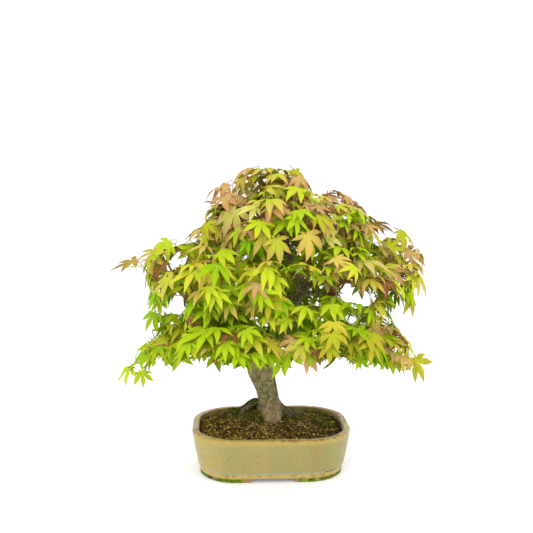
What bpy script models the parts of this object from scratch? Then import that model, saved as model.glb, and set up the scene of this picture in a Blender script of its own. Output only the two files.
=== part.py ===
"""A potted maple grown as a bonsai: a glazed pot with its soil, a curved trunk with a flared
foot, tapering boughs, and a crown of separate leaf masses. Metres, +Z up. The origin is on the
ground under the middle of the pot, +X runs along the pot and -Y is the front of the tree."""

import math
import random
from itertools import product

import bmesh
import bpy
from mathutils import Vector
from mathutils.bvhtree import BVHTree

MM = 0.001
GAP = 0.3 * MM  # between neighbouring solids
MODEL_NAME = "bonsai_maple"

# Pot: a rounded rectangle seen from above, with a thick lip, a taper and a low foot band.
POT_LENGTH = 200 * MM
POT_DEPTH = 153 * MM
POT_HEIGHT = 56 * MM
POT_CORNER = 57 * MM
POT_TAPER = 8.0 * MM  # how far each side comes in from the lip to the ledge
POT_WALL = 8.6 * MM
POT_FLOOR = 7 * MM
LIP_ROUND = 2.2 * MM
LEDGE_Z = 10.5 * MM
LEDGE_STEP = 1.6 * MM
FOOT_HEIGHT = 5 * MM
FOOT_WIDTH = 11 * MM
FOOT_INSET = 2.0 * MM
FOOT_END_X = 27 * MM  # where a foot stops along the front, and along the side
FOOT_END_Y = 13.5 * MM
CORNER_STEPS = 6

# Soil: level near the wall, rising to a flat seat under the trunk, with a mossy mound beside it.
SOIL_RIM_Z = 50 * MM
SEAT_Z = 57 * MM
SEAT_CENTRE = Vector((4, 14, 0)) * MM
SEAT_HALF = (51 * MM, 27 * MM)
SEAT_SLOPE = 0.42  # width of the slope beside the seat, as a share of the seat
SOIL_SHARES = (0.93, 0.85, 0.76, 0.66, 0.55)  # rings drawn in from the wall towards the seat
MOUND_CENTRE = Vector((-50, 46, 0)) * MM
MOUND_RADIUS = 19 * MM
MOUND_HEIGHT = 9 * MM
MOUND_EDGE = 0.15  # the mound starts over this width beyond the seat, as a share of the seat

# Trunk: points up its middle line as (x, y, z, radius) in mm, from the cut at the soil.
TRUNK_LINE = [
    (0, 14, 57.3, 16.0),
    (-1, 13, 70, 14.5),
    (-3.4, 12, 90, 13.4),
    (-8.5, 10, 115, 13.6),
    (-13.0, 7, 138, 13.4),
    (-7.0, 4, 156, 12.4),
    (8.0, 1, 175, 10.6),
    (22.4, 0, 196, 8.4),
    (35.0, 2, 222, 6.2),
    (39.0, 4, 237, 5.6),
    (34.0, 4, 252, 5.2),
    (24.0, 2, 272, 4.9),
    (18.0, 0, 296, 3.8),
    (12.0, -1, 322, 2.2),
]
TRUNK_SIDES = 20
TRUNK_RIPPLE = 0.04  # how far the trunk is out of round, as a share of its radius
# Surface roots of the flare: (azimuth in degrees, reach past the trunk in mm, half angle in degrees).
FLARE_ROOTS = [(196, 25, 21), (8, 33, 19), (268, 5, 30), (312, 9, 26), (150, 10, 24), (85, 9, 30)]
FLARE_HEIGHT = 17 * MM

# Each bough: name, height where it leaves the trunk, radius there and at its tip, and how far
# its middle arches above the straight line, all in mm.
# Each mass: centre and half sizes in mm, and the number of leaf places it tries for.
LIMBS = [
    ("low_left", 150, 3.8, 1.9, 8, (-124, -5, 160), (80, 62, 48), 17),
    ("low_right", 168, 4.0, 2.0, 10, (140, -8, 156), (66, 62, 48), 16),
    ("low_front_left", 143, 3.2, 1.7, 12, (-50, -88, 164), (64, 60, 46), 14),
    ("low_front_right", 161, 3.2, 1.7, 10, (62, -88, 164), (64, 60, 46), 14),
    ("low_back_left", 147, 3.4, 1.8, 10, (-55, 90, 162), (68, 60, 46), 13),
    ("low_back_right", 165, 3.4, 1.8, 10, (65, 90, 162), (68, 60, 46), 13),
    ("mid_left", 158, 6.0, 3.0, 14, (-130, 5, 246), (74, 60, 48), 16),
    ("mid_right", 226, 3.4, 1.9, 4, (146, 5, 242), (62, 60, 50), 15),
    ("mid_front_left", 182, 3.2, 1.8, 8, (-74, -74, 236), (60, 56, 48), 13),
    ("mid_front", 199, 3.0, 1.7, 8, (6, -96, 238), (56, 54, 48), 13),
    ("mid_front_right", 213, 3.0, 1.7, 6, (84, -75, 234), (60, 54, 48), 13),
    ("mid_back_left", 189, 3.2, 1.8, 8, (-75, 76, 236), (62, 58, 48), 12),
    ("mid_back", 205, 3.0, 1.7, 8, (6, 98, 238), (56, 54, 48), 12),
    ("mid_back_right", 219, 3.0, 1.7, 6, (84, 78, 236), (62, 56, 48), 12),
    ("upper_left", 278, 2.7, 1.6, 2, (-62, 0, 308), (56, 60, 46), 13),
    ("upper_right", 254, 3.2, 1.7, 2, (95, 0, 304), (66, 60, 46), 15),
    ("upper_front", 264, 2.6, 1.6, 2, (14, -60, 304), (60, 56, 48), 14),
    ("upper_back", 270, 2.6, 1.6, 2, (14, 62, 304), (60, 56, 48), 13),
]
APEX = ("apex", (5, 0, 345), (58, 54, 42), 15)
BOUGH_POINTS = 7
BOUGH_LIFT = 0.35  # how far a bough turns upwards as it leaves the trunk
BOUGH_WAVER = 0.035  # sideways waver, as a share of the bough's length
ENTRY = 0.62  # a bough ends this share of the way out from its mass's centre

# Leaf: five pointed lobes round the point where the stalk joins, larger than life.
LEAF_LENGTH = 38 * MM
LEAF_SIZES = (1.0, 0.86, 0.72)  # tried in turn where a larger leaf would leave its space
LEAF_THICKNESS = 0.9 * MM
LEAF_DROOP = 0.30  # how far the tip hangs, as a share of the leaf's length
FACE_OUT = 0.60  # how much a leaf's upper side looks out of the crown, and how much upwards
FACE_UP = 0.62
HANG_OUT = 0.5  # how much its middle lobe points out of the crown, and how much downwards
HANG_DOWN = 0.7
LEAF_SHAKE = 0.3  # chance added to both
# The leaf's edge, tip and notch by turns: angle from the middle lobe, and reach.
OUTLINE = [
    (-148, 0.11), (-106, 0.62), (-78, 0.31), (-50, 0.90), (-25, 0.36),
    (0, 1.0),
    (25, 0.36), (50, 0.90), (78, 0.31), (106, 0.62), (148, 0.11),
]
STALK_RADIUS = 0.4 * MM
STALK_PULL = 0.8  # how much a leaf points the way its stalk grows
STALK_EASE = 0.4  # least cosine between a stalk and its leaf's middle lobe
STALK_SHORTEST = 6 * MM
STALK_LONGEST = 44 * MM
LEAF_SPACING = 13 * MM
FORK_STEPS = 6  # places looked at along each twig
FORK_SPACING = 2.6 * MM
FORK_COST = 0.5  # how much a sharp bend counts against a fork, beside its distance
CROWN_PULL = 12  # how much a leaf's side of the crown counts, per metre from the trunk
INWARD_LIMIT = -0.6  # no leaf faces further into the crown than this cosine, and no twig:
TWIG_INWARD_LIMIT = -0.5
TWIG_RADIUS = 1.35 * MM
TWIG_TAPER = 0.75
STEM_SHARE = 0.6  # the stem runs this share of the way to the middle of its mass
STEM_RUN_ON = 3 * MM  # and this far on along the bough
TWIGS = 4  # side twigs in a mass
TWIG_REACH = 0.62
TWIG_SHORTEST = 10 * MM
TWIG_LONGEST = 90 * MM
CELL_GAP = 0.5 * MM  # kept clear on each side of the plane between two masses
LIMB_CLEARANCE = 0.35 * MM
SPACE_STEPS = (1.08, 1.0, 0.93, 0.86, 0.78, 0.69, 0.59, 0.48, 0.36, 0.22)
OVERFILL = 1.2  # leaves may stand this far out of their mass's ellipsoid, where the crown allows
CROWN_LOW = Vector((-203, -150, 110)) * MM
CROWN_HIGH = Vector((207, 150, 385)) * MM
LEAF_TRIES = 9  # leaf places looked at, for each leaf wanted
SEED = 11
TWIN_DISTANCE = 0.001 * MM
ATTEMPTS = 6  # growths tried until one joins into a clean solid


def wipe_scene():
    """Remove whatever the scene holds."""
    for thing in list(bpy.data.objects):
        bpy.data.objects.remove(thing, do_unlink=True)


def collection(name):
    made = bpy.data.collections.new(name)
    bpy.context.scene.collection.children.link(made)
    return made


def material(name, colour, roughness):
    made = bpy.data.materials.new(name)
    made.use_nodes = True
    shader = made.node_tree.nodes["Principled BSDF"]
    shader.inputs["Base Color"].default_value = (*colour, 1)
    shader.inputs["Roughness"].default_value = roughness
    shader.inputs["Metallic"].default_value = 0
    made.diffuse_color = (*colour, 1)
    return made


def mesh_object(name, points, faces, look, home):
    """One closed mesh from points and faces, its faces turned outwards."""
    mesh = bpy.data.meshes.new(name)
    mesh.from_pydata([tuple(p) for p in points], [], faces)
    shape = bmesh.new()
    shape.from_mesh(mesh)
    bmesh.ops.recalc_face_normals(shape, faces=shape.faces)
    if shape.calc_volume(signed=True) < 0:
        bmesh.ops.reverse_faces(shape, faces=shape.faces)
    shape.to_mesh(mesh)
    shape.free()
    mesh.materials.append(look)
    made = bpy.data.objects.new(name, mesh)
    home.objects.link(made)
    return made


def loft(rings):
    """Points and faces of the closed skin through rings of equal length, capped at both ends."""
    count = len(rings[0])
    points = [p for ring in rings for p in ring]
    faces = [tuple(range(count)), tuple(range(len(points) - count, len(points)))]
    for level in range(len(rings) - 1):
        low = level * count
        high = low + count
        for i in range(count):
            j = (i + 1) % count
            faces.append((low + i, low + j, high + j, high + i))
    return points, faces


def shade(thing, degrees=40):
    thing.data.shade_smooth()
    thing.data.set_sharp_from_angle(angle=math.radians(degrees))


# ---------------------------------------------------------------- pot, feet and soil


def rounded_ring(half_x, half_y, corner, z):
    """A rounded rectangle as points, anticlockwise from above."""
    ring = []
    for quarter, (sx, sy) in enumerate(((1, 1), (-1, 1), (-1, -1), (1, -1))):
        centre = Vector((sx * (half_x - corner), sy * (half_y - corner), z))
        for step in range(CORNER_STEPS + 1):
            angle = math.radians(90 * (quarter + step / CORNER_STEPS))
            ring.append(centre + Vector((math.cos(angle), math.sin(angle), 0)) * corner)
    return ring


def pot_ring(inset, z):
    """The pot's outline, drawn in from the lip's outer edge."""
    return rounded_ring(POT_LENGTH / 2 - inset, POT_DEPTH / 2 - inset, POT_CORNER - inset, z)


def wall_inset(z):
    """How far the outside of the wall has come in at height z, more quickly lower down."""
    drop = (POT_HEIGHT - z) / (POT_HEIGHT - LEDGE_Z)
    return POT_TAPER * drop ** 1.25


def make_pot(look, home):
    rings = []
    band = POT_TAPER + LEDGE_STEP
    for inset, z in ((band + 1.5 * MM, FOOT_HEIGHT), (band, FOOT_HEIGHT + 1.5 * MM), (band, LEDGE_Z - MM)):
        rings.append(pot_ring(inset, z))
    rings.append(pot_ring(POT_TAPER, LEDGE_Z))
    for z in (20 * MM, 32 * MM, 44 * MM, POT_HEIGHT - LIP_ROUND):
        rings.append(pot_ring(wall_inset(z), z))
    for degrees in (35, 90):
        turn = math.radians(degrees)
        inset = LIP_ROUND * (1 - math.cos(turn))
        rings.append(pot_ring(inset, POT_HEIGHT - LIP_ROUND * (1 - math.sin(turn))))
    for degrees in (90, 145):
        turn = math.radians(degrees)
        inset = POT_WALL - LIP_ROUND * (1 + math.cos(turn))
        rings.append(pot_ring(inset, POT_HEIGHT - LIP_ROUND * (1 - math.sin(turn))))
    rings.append(pot_ring(POT_WALL, POT_HEIGHT - 2 * LIP_ROUND))
    rings.append(pot_ring(POT_WALL + POT_TAPER, FOOT_HEIGHT + POT_FLOOR))
    made = mesh_object("pot", *loft(rings), look, home)
    shade(made)
    return made


def foot_line(inset):
    """The corner's curve with a straight run at each end, for the +X +Y corner, in plan."""
    half_x = POT_LENGTH / 2 - POT_TAPER - LEDGE_STEP - inset
    half_y = POT_DEPTH / 2 - POT_TAPER - LEDGE_STEP - inset
    corner = POT_CORNER - POT_TAPER - LEDGE_STEP - inset
    centre = Vector((half_x - corner, half_y - corner, 0))
    line = [Vector((half_x, FOOT_END_Y, 0))]
    for step in range(CORNER_STEPS + 1):
        angle = math.radians(90 * step / CORNER_STEPS)
        line.append(centre + Vector((math.cos(angle), math.sin(angle), 0)) * corner)
    line.append(Vector((FOOT_END_X, half_y, 0)))
    return line


def make_foot(name, sx, sy, look, home):
    outer = foot_line(FOOT_INSET)
    inner = foot_line(FOOT_INSET + FOOT_WIDTH)
    top = FOOT_HEIGHT - GAP
    rings = []
    for out, back in zip(outer, inner):
        corners = ((out, 0), (back, 0), (back, top), (out, top))
        rings.append([Vector((p.x * sx, p.y * sy, z)) for p, z in corners])
    return mesh_object(name, *loft(rings), look, home)


def smooth_step(value):
    value = min(1, max(0, value))
    return value * value * (3 - 2 * value)


def soil_height(x, y):
    seat = math.hypot((x - SEAT_CENTRE.x) / SEAT_HALF[0], (y - SEAT_CENTRE.y) / SEAT_HALF[1])
    rise = 1 - smooth_step((seat - 1) / SEAT_SLOPE)
    mound = math.hypot(x - MOUND_CENTRE.x, y - MOUND_CENTRE.y) / MOUND_RADIUS
    lift = MOUND_HEIGHT * (1 - smooth_step(mound)) * smooth_step((seat - 1) / MOUND_EDGE)
    return SOIL_RIM_Z + (SEAT_Z - SOIL_RIM_Z) * rise + lift


def make_soil(look, home):
    floor = FOOT_HEIGHT + POT_FLOOR + GAP
    rings = []
    wall_drop = POT_HEIGHT - 2 * LIP_ROUND - FOOT_HEIGHT - POT_FLOOR
    for z in (floor, SOIL_RIM_Z):
        along = (POT_HEIGHT - 2 * LIP_ROUND - z) / wall_drop
        rings.append(pot_ring(POT_WALL + GAP * 1.5 + POT_TAPER * max(0, along), z))
    edge = rings[-1]
    for share in SOIL_SHARES:
        ring = []
        for point in edge:
            x = SEAT_CENTRE.x * (1 - share) + point.x * share
            y = SEAT_CENTRE.y * (1 - share) + point.y * share
            ring.append(Vector((x, y, soil_height(x, y))))
        rings.append(ring)
    seat = []
    for point in rings[-1]:
        turn = math.atan2(point.y - SEAT_CENTRE.y, point.x - SEAT_CENTRE.x)
        x = SEAT_CENTRE.x + SEAT_HALF[0] * math.cos(turn) * 0.98
        y = SEAT_CENTRE.y + SEAT_HALF[1] * math.sin(turn) * 0.98
        seat.append(Vector((x, y, SEAT_Z)))
    rings[-1] = seat
    made = mesh_object("soil", *loft(rings), look, home)
    shade(made)
    return made


# ---------------------------------------------------------------- trunk and boughs


def spline(points, place):
    """A point on the Catmull-Rom curve through points, where place 1.5 is halfway from 1 to 2."""
    last = len(points) - 1
    span = min(int(place), last - 1)
    t = place - span
    a, b = points[span], points[span + 1]
    before = points[span - 1] if span > 0 else a * 2 - b
    after = points[span + 2] if span + 2 <= last else b * 2 - a
    slope = (b - before) * t
    curve = (before * 2 - a * 5 + b * 4 - after) * t ** 2
    twist = (a * 3 - before - b * 3 + after) * t ** 3
    return a + (slope + curve + twist) * 0.5


def trunk_at(place):
    """Middle point and radius of the trunk, where place counts the points of its line."""
    flat = [Vector((x, y, z, r)) * MM for x, y, z, r in TRUNK_LINE]
    found = spline(flat, place)
    return Vector(found[:3]), found[3]


def trunk_place(height):
    """Where up its line the trunk's middle is at a height, by halving."""
    low, high = 0.0, len(TRUNK_LINE) - 1.0
    for _ in range(40):
        half = (low + high) / 2
        if trunk_at(half)[0].z < height:
            low = half
        else:
            high = half
    return low


def flare(angle, rise):
    """How far the surface roots push the trunk's skin out at an angle, at a rise over the cut."""
    fade = max(0, 1 - rise / FLARE_HEIGHT)
    push = 0
    for azimuth, reach, spread in FLARE_ROOTS:
        off = (math.degrees(angle) - azimuth + 180) % 360 - 180
        push += reach * MM * math.exp(-((off / spread) ** 2) * 1.6) * fade ** 2.2
    return push


def make_trunk(look, home):
    rings = []
    spans = len(TRUNK_LINE) - 1
    places = [0, 0.12, 0.28, 0.5, 0.8, 1.2, 1.6, *range(2, spans)]
    places += [place + 0.5 for place in range(3, 9)] + [spans]
    places.sort()
    foot = trunk_at(0)[0].z
    for place in places:
        centre, radius = trunk_at(place)
        ahead = trunk_at(min(place + 0.05, spans))[0] - trunk_at(max(place - 0.05, 0))[0]
        level = smooth_step(place)  # the foot's rings lie flat, those above turn with the trunk
        up = Vector((0, 0, 1)).lerp(ahead.normalized(), level).normalized()
        side = Vector((0, 1, 0)).cross(up).normalized()
        back = up.cross(side).normalized()
        ring = []
        for i in range(TRUNK_SIDES):
            angle = 2 * math.pi * i / TRUNK_SIDES
            out = radius * (1 + TRUNK_RIPPLE * math.sin(3 * angle + place)) + flare(angle, centre.z - foot)
            ring.append(centre + (side * math.cos(angle) + back * math.sin(angle)) * out)
        rings.append(ring)
    made = mesh_object("trunk", *loft(rings), look, home)
    shade(made)
    return made


def tree_of(things):
    """One search tree over the faces of several objects, in world space."""
    points, faces = [], []
    depsgraph = bpy.context.evaluated_depsgraph_get()
    for thing in things:
        mesh = bpy.data.meshes.new_from_object(thing.evaluated_get(depsgraph))
        start = len(points)
        points += [thing.matrix_world @ v.co for v in mesh.vertices]
        faces += [[start + i for i in face.vertices] for face in mesh.polygons]
        bpy.data.meshes.remove(mesh)
    return BVHTree.FromPolygons(points, faces)


def clear_of(tree, centre, direction, radius, gap):
    """Moves centre along direction until a disc of that radius stands the gap clear of the tree's
    surface and outside it."""
    side = direction.orthogonal().normalized()
    up = direction.cross(side)
    spot = centre.copy()
    for _ in range(900):
        rim = [spot]
        for i in range(12):
            angle = math.pi * i / 6
            rim.append(spot + (side * math.cos(angle) + up * math.sin(angle)) * radius)
        worst = 1.0
        for point in rim:
            near, normal, _, distance = tree.find_nearest(point)
            inside = (point - near).dot(normal) < 0
            worst = min(worst, -distance if inside else distance)
        if worst >= gap:
            return spot
        spot = spot + direction * 0.05 * MM
    return spot


def bough_line(limb, trunk_tree, rng):
    """Points and radii of one bough, from just off the trunk to where it enters its mass."""
    _, height, thick, thin, arch, centre, half, _ = limb
    root = trunk_at(trunk_place(height * MM))[0]
    centre = Vector(centre) * MM
    way = centre - root
    reach = ellipsoid_scale(way, half)
    tip = centre - way * (ENTRY / reach)
    line = tip - root
    leave = (line.normalized() + Vector((0, 0, BOUGH_LIFT))).normalized()
    start = clear_of(trunk_tree, root, leave, thick * MM, GAP)
    run = tip - start
    side = run.cross(Vector((0, 0, 1))).normalized()
    phase = rng.uniform(0, 2 * math.pi)
    points, radii = [], []
    for i in range(BOUGH_POINTS):
        t = i / (BOUGH_POINTS - 1)
        hump = 4 * t * (1 - t)
        waver = math.sin(phase + t * 5.5) * run.length * BOUGH_WAVER * hump
        points.append(start + run * t + Vector((0, 0, arch * MM * hump)) + side * waver)
        radii.append((thick + (thin - thick) * t ** 0.8) * MM)
    points[1] = start + leave * (points[1] - start).length
    return points, radii


def ellipsoid_scale(way, half):
    """How many half sizes long a vector is, in an ellipsoid of those half sizes in mm."""
    return math.sqrt(sum((way[i] / (half[i] * MM)) ** 2 for i in range(3)))


def make_bough(name, points, radii, look, home):
    curve = bpy.data.curves.new(name, "CURVE")
    curve.dimensions = "3D"
    curve.bevel_depth = 1
    curve.bevel_resolution = 1
    curve.use_fill_caps = True
    line = curve.splines.new("POLY")
    line.points.add(len(points) - 1)
    for spot, point, radius in zip(line.points, points, radii):
        spot.co = (*point, 1)
        spot.radius = radius
    curve.materials.append(look)
    made = bpy.data.objects.new(name, curve)
    home.objects.link(made)
    return made


# ---------------------------------------------------------------- leaf masses


class Space:
    """The room one mass keeps to: its ellipsoid, cut by the planes it shares with the others."""

    def __init__(self, name, centre, half):
        self.name = name
        self.centre = Vector(centre) * MM
        self.half = Vector(half) * MM
        self.walls = []

    def meet(self, other):
        """Share out the room between two masses by the plane of equal power."""
        own = (sum(self.half) / 3) ** 2
        its = (sum(other.half) / 3) ** 2
        way = other.centre - self.centre
        length = way.length
        along = (length * length + own - its) / (2 * length)
        self.walls.append((self.centre + way * (along / length), way / length))

    def holds(self, points):
        for point in points:
            off = point - self.centre
            if sum((off[i] / self.half[i]) ** 2 for i in range(3)) > OVERFILL * OVERFILL:
                return False
            if any(not CROWN_LOW[i] <= point[i] <= CROWN_HIGH[i] for i in range(3)):
                return False
            for spot, outward in self.walls:
                if (point - spot).dot(outward) > -CELL_GAP:
                    return False
        return True


def leaf_shape(fork, place, hang, face, length):
    """Points and faces of one leaf with its stalk, and how straight it runs on from the stalk.
    The stalk starts at fork and the lobes spread from place, hanging partly the way hang points
    and partly the way the stalk grows. The last faces are the stalk's."""
    grows = (place - fork).normalized()
    down = (grows * STALK_PULL + hang).normalized()
    face = (face - down * face.dot(down)).normalized()
    side = face.cross(down)
    points = []
    for degrees, reach in OUTLINE:
        turn = math.radians(degrees)
        sag = length * LEAF_DROOP * reach * reach
        out = (down * math.cos(turn) + side * math.sin(turn)) * (length * reach)
        points.append(place + out - face * sag)
    count = len(points)
    top, under = count, count + 1
    points.append(place + face * LEAF_THICKNESS / 2)
    points.append(place - face * LEAF_THICKNESS / 2)
    faces = []
    for i in range(count - 1):
        faces.append((top, i, i + 1))
        faces.append((under, i + 1, i))
    around = (face - grows * face.dot(grows)).normalized()
    across = around.cross(grows)
    for out in (across, around, -across, -around):
        points.append(fork + out * STALK_RADIUS)
    ring = (count - 1, top, 0, under)
    foot = range(count + 2, count + 6)
    for i in range(4):
        j = (i + 1) % 4
        faces.append((ring[i], ring[j], foot[j], foot[i]))
    faces.append(tuple(foot))
    return points, faces, grows.dot(down)


def twig_shape(start, end, thick, thin, heading=None):
    """Points and faces of a three-sided tapering twig, its first end square to heading."""
    way = (end - start).normalized()
    rings = []
    for spot, radius, square in ((start, thick, heading or way), (end, thin, way)):
        side = (Vector((0.3, 0.1, 1)) - square * square.dot(Vector((0.3, 0.1, 1)))).normalized()
        up = square.cross(side)
        ring = []
        for i in range(3):
            angle = 2 * math.pi * i / 3
            ring.append(spot + (side * math.cos(angle) + up * math.sin(angle)) * radius)
        rings.append(ring)
    return loft(rings)


def sphere_directions(count, rng):
    """Directions spread evenly over a sphere, in a shuffled order."""
    turn = math.pi * (3 - math.sqrt(5))
    offset = rng.uniform(0, 2 * math.pi)
    found = []
    for i in range(count):
        z = 1 - 2 * (i + 0.5) / count
        ring = math.sqrt(1 - z * z)
        found.append(Vector((math.cos(offset + turn * i) * ring, math.sin(offset + turn * i) * ring, z)))
    rng.shuffle(found)
    return found


def shaken(amount, rng):
    return Vector([rng.uniform(-amount, amount) for _ in range(3)])


def outward_side(space):
    """The level direction in which a mass faces out of the crown, or up for the topmost."""
    level = Vector((space.centre.x, space.centre.y, 0))
    return level.normalized() if level.length > 20 * MM else Vector((0, 0, 1))


def fork_towards(spot, runs, used, shortest, longest, rng):
    """The best place on the runs for a shoot to spot: near it, with an easy bend, and clear of
    the forks already used."""
    best = None
    for start, end, thick, thin in runs:
        for step in range(FORK_STEPS):
            share = 0.25 + 0.72 * (step + rng.uniform(0, 1)) / FORK_STEPS
            fork = start.lerp(end, share)
            way = spot - fork
            bend = 1 - way.normalized().dot((end - start).normalized())
            if not shortest < way.length < longest or bend > 1.25:
                continue
            if any((fork - other).length < FORK_SPACING for other in used):
                continue
            cost = way.length * (1 + FORK_COST * bend)
            if best is None or cost < best[0]:
                best = (cost, fork, thick + (thin - thick) * share)
    return best


def grow_twigs(space, root, heading, thick, limb_tree, rng):
    """The stem from root and the twigs that branch off it towards all parts of a mass."""
    away = outward_side(space)
    hub = root.lerp(space.centre, STEM_SHARE) + heading * STEM_RUN_ON
    runs = [(root, hub, thick, TWIG_RADIUS)]
    used = []
    spread = sphere_directions(TWIGS + 4, rng)
    directions = [d for d in spread if d.dot(away) > TWIG_INWARD_LIMIT][:TWIGS]
    for direction in [away, *directions]:
        reach = TWIG_REACH * rng.uniform(0.85, 1.1)
        target = space.centre + Vector([direction[i] * space.half[i] * reach for i in range(3)])
        found = fork_towards(target, runs, used, TWIG_SHORTEST, TWIG_LONGEST, rng)
        if found is None:
            continue
        _, fork, wide = found
        wide = min(TWIG_RADIUS, wide * 0.95)
        thin = wide * TWIG_TAPER
        swept = twig_shape(fork, target, wide + LIMB_CLEARANCE, thin + LIMB_CLEARANCE)
        if space.holds(swept[0]) and not BVHTree.FromPolygons(*swept).overlap(limb_tree):
            runs.append((fork, target, wide, thin))
            used.append(fork)
    return runs, used


def grow_mass(space, root, heading, thick, wanted, limb_tree, rng):
    """Shapes of a mass: its twigs, and leaves on stalks over the outer side of it, each drawn
    inwards until it fits."""
    away = outward_side(space)
    runs, used = grow_twigs(space, root, heading, thick, limb_tree, rng)
    twigs = [twig_shape(*runs[0], heading)] + [twig_shape(*run) for run in runs[1:]]
    twig_trees = [BVHTree.FromPolygons(*twig) for twig in twigs]
    leaves = []
    directions = [d for d in sphere_directions(wanted * LEAF_TRIES, rng) if d.dot(away) > INWARD_LIMIT]
    directions.insert(0, (away + Vector((0, 0, 0.12))).normalized())
    for direction in directions:
        if len(leaves) == wanted:
            break
        outward = Vector([direction[i] / space.half[i] for i in range(3)]).normalized()
        outward = (outward + Vector((space.centre.x, space.centre.y, 0)) * CROWN_PULL).normalized()
        face = (outward * FACE_OUT + Vector((0, 0, FACE_UP)) + shaken(LEAF_SHAKE, rng)).normalized()
        hang = Vector((outward.x, outward.y, 0)) * HANG_OUT + Vector((0, 0, -HANG_DOWN))
        hang += shaken(LEAF_SHAKE, rng)
        for size, share in product(LEAF_SIZES, SPACE_STEPS):
            spot = space.centre + Vector([direction[i] * space.half[i] * share for i in range(3)])
            if any((spot - other[0]).length < LEAF_SPACING for other in leaves):
                continue
            found = fork_towards(spot, runs, used, STALK_SHORTEST, STALK_LONGEST, rng)
            if found is None:
                continue
            fork = found[1]
            points, faces, ease = leaf_shape(fork, spot, hang, face, LEAF_LENGTH * size)
            if ease < STALK_EASE or not space.holds(points):
                continue
            whole = BVHTree.FromPolygons(points, faces)
            blade = BVHTree.FromPolygons(points, faces[:-5])
            if whole.overlap(limb_tree) or any(blade.overlap(tree) for tree in twig_trees):
                continue
            beyond = twig_shape(spot.lerp(fork, 0.3), fork, STALK_RADIUS, STALK_RADIUS)
            if blade.overlap(BVHTree.FromPolygons(*beyond)):
                continue
            if any(whole.overlap(other[2]) or blade.overlap(other[3]) for other in leaves):
                continue
            leaves.append((spot, (points, faces), blade, whole))
            used.append(fork)
            break
    return twigs + [leaf[1] for leaf in leaves], len(leaves)


def touches_itself(thing):
    """Whether two corners of a mesh all but coincide, or it is pinched to a point or an edge."""
    shape = bmesh.new()
    shape.from_mesh(thing.data)
    twins = bmesh.ops.find_doubles(shape, verts=shape.verts, dist=TWIN_DISTANCE)["targetmap"]
    pinched = any(not vert.is_manifold for vert in shape.verts)
    shape.free()
    thing.data.calc_loop_triangles()
    sides = [
        (face.vertices[i], face.vertices[i - 1]) for face in thing.data.loop_triangles for i in range(3)
    ]
    return len(twins) > 0 or pinched or len(set(sides)) < len(sides)


def join_shapes(name, shapes, look, home):
    """One closed solid from overlapping shapes, by a Boolean union on a collection."""
    spare = collection(name + "_shapes")
    first = mesh_object(name, *shapes[0], look, home)
    for number, shape in enumerate(shapes[1:]):
        mesh_object(f"{name}_shape_{number}", *shape, look, spare)
    union = first.modifiers.new("union", "BOOLEAN")
    union.operation = "UNION"
    union.operand_type = "COLLECTION"
    union.collection = spare
    union.solver = "MANIFOLD"
    depsgraph = bpy.context.evaluated_depsgraph_get()
    joined = bpy.data.meshes.new_from_object(first.evaluated_get(depsgraph))
    first.modifiers.clear()
    first.data = joined
    for thing in list(spare.objects):
        bpy.data.objects.remove(thing, do_unlink=True)
    bpy.data.collections.remove(spare)
    keep_largest_body(first)
    return first


def keep_largest_body(thing):
    """Drop loose scraps and the inner skins of sealed hollows."""
    shape = bmesh.new()
    shape.from_mesh(thing.data)
    bmesh.ops.dissolve_degenerate(shape, dist=TWIN_DISTANCE, edges=shape.edges)
    unseen = set(shape.faces)
    bodies = []
    while unseen:
        todo = [unseen.pop()]
        body = set(todo)
        while todo:
            for edge in todo.pop().edges:
                for face in edge.link_faces:
                    if face in unseen:
                        unseen.remove(face)
                        body.add(face)
                        todo.append(face)
        bodies.append(body)
    bodies.sort(key=len, reverse=True)
    for body in bodies[1:]:
        bmesh.ops.delete(shape, geom=list(body), context="FACES")
    shape.to_mesh(thing.data)
    shape.free()


# ---------------------------------------------------------------- the whole plant


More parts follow.
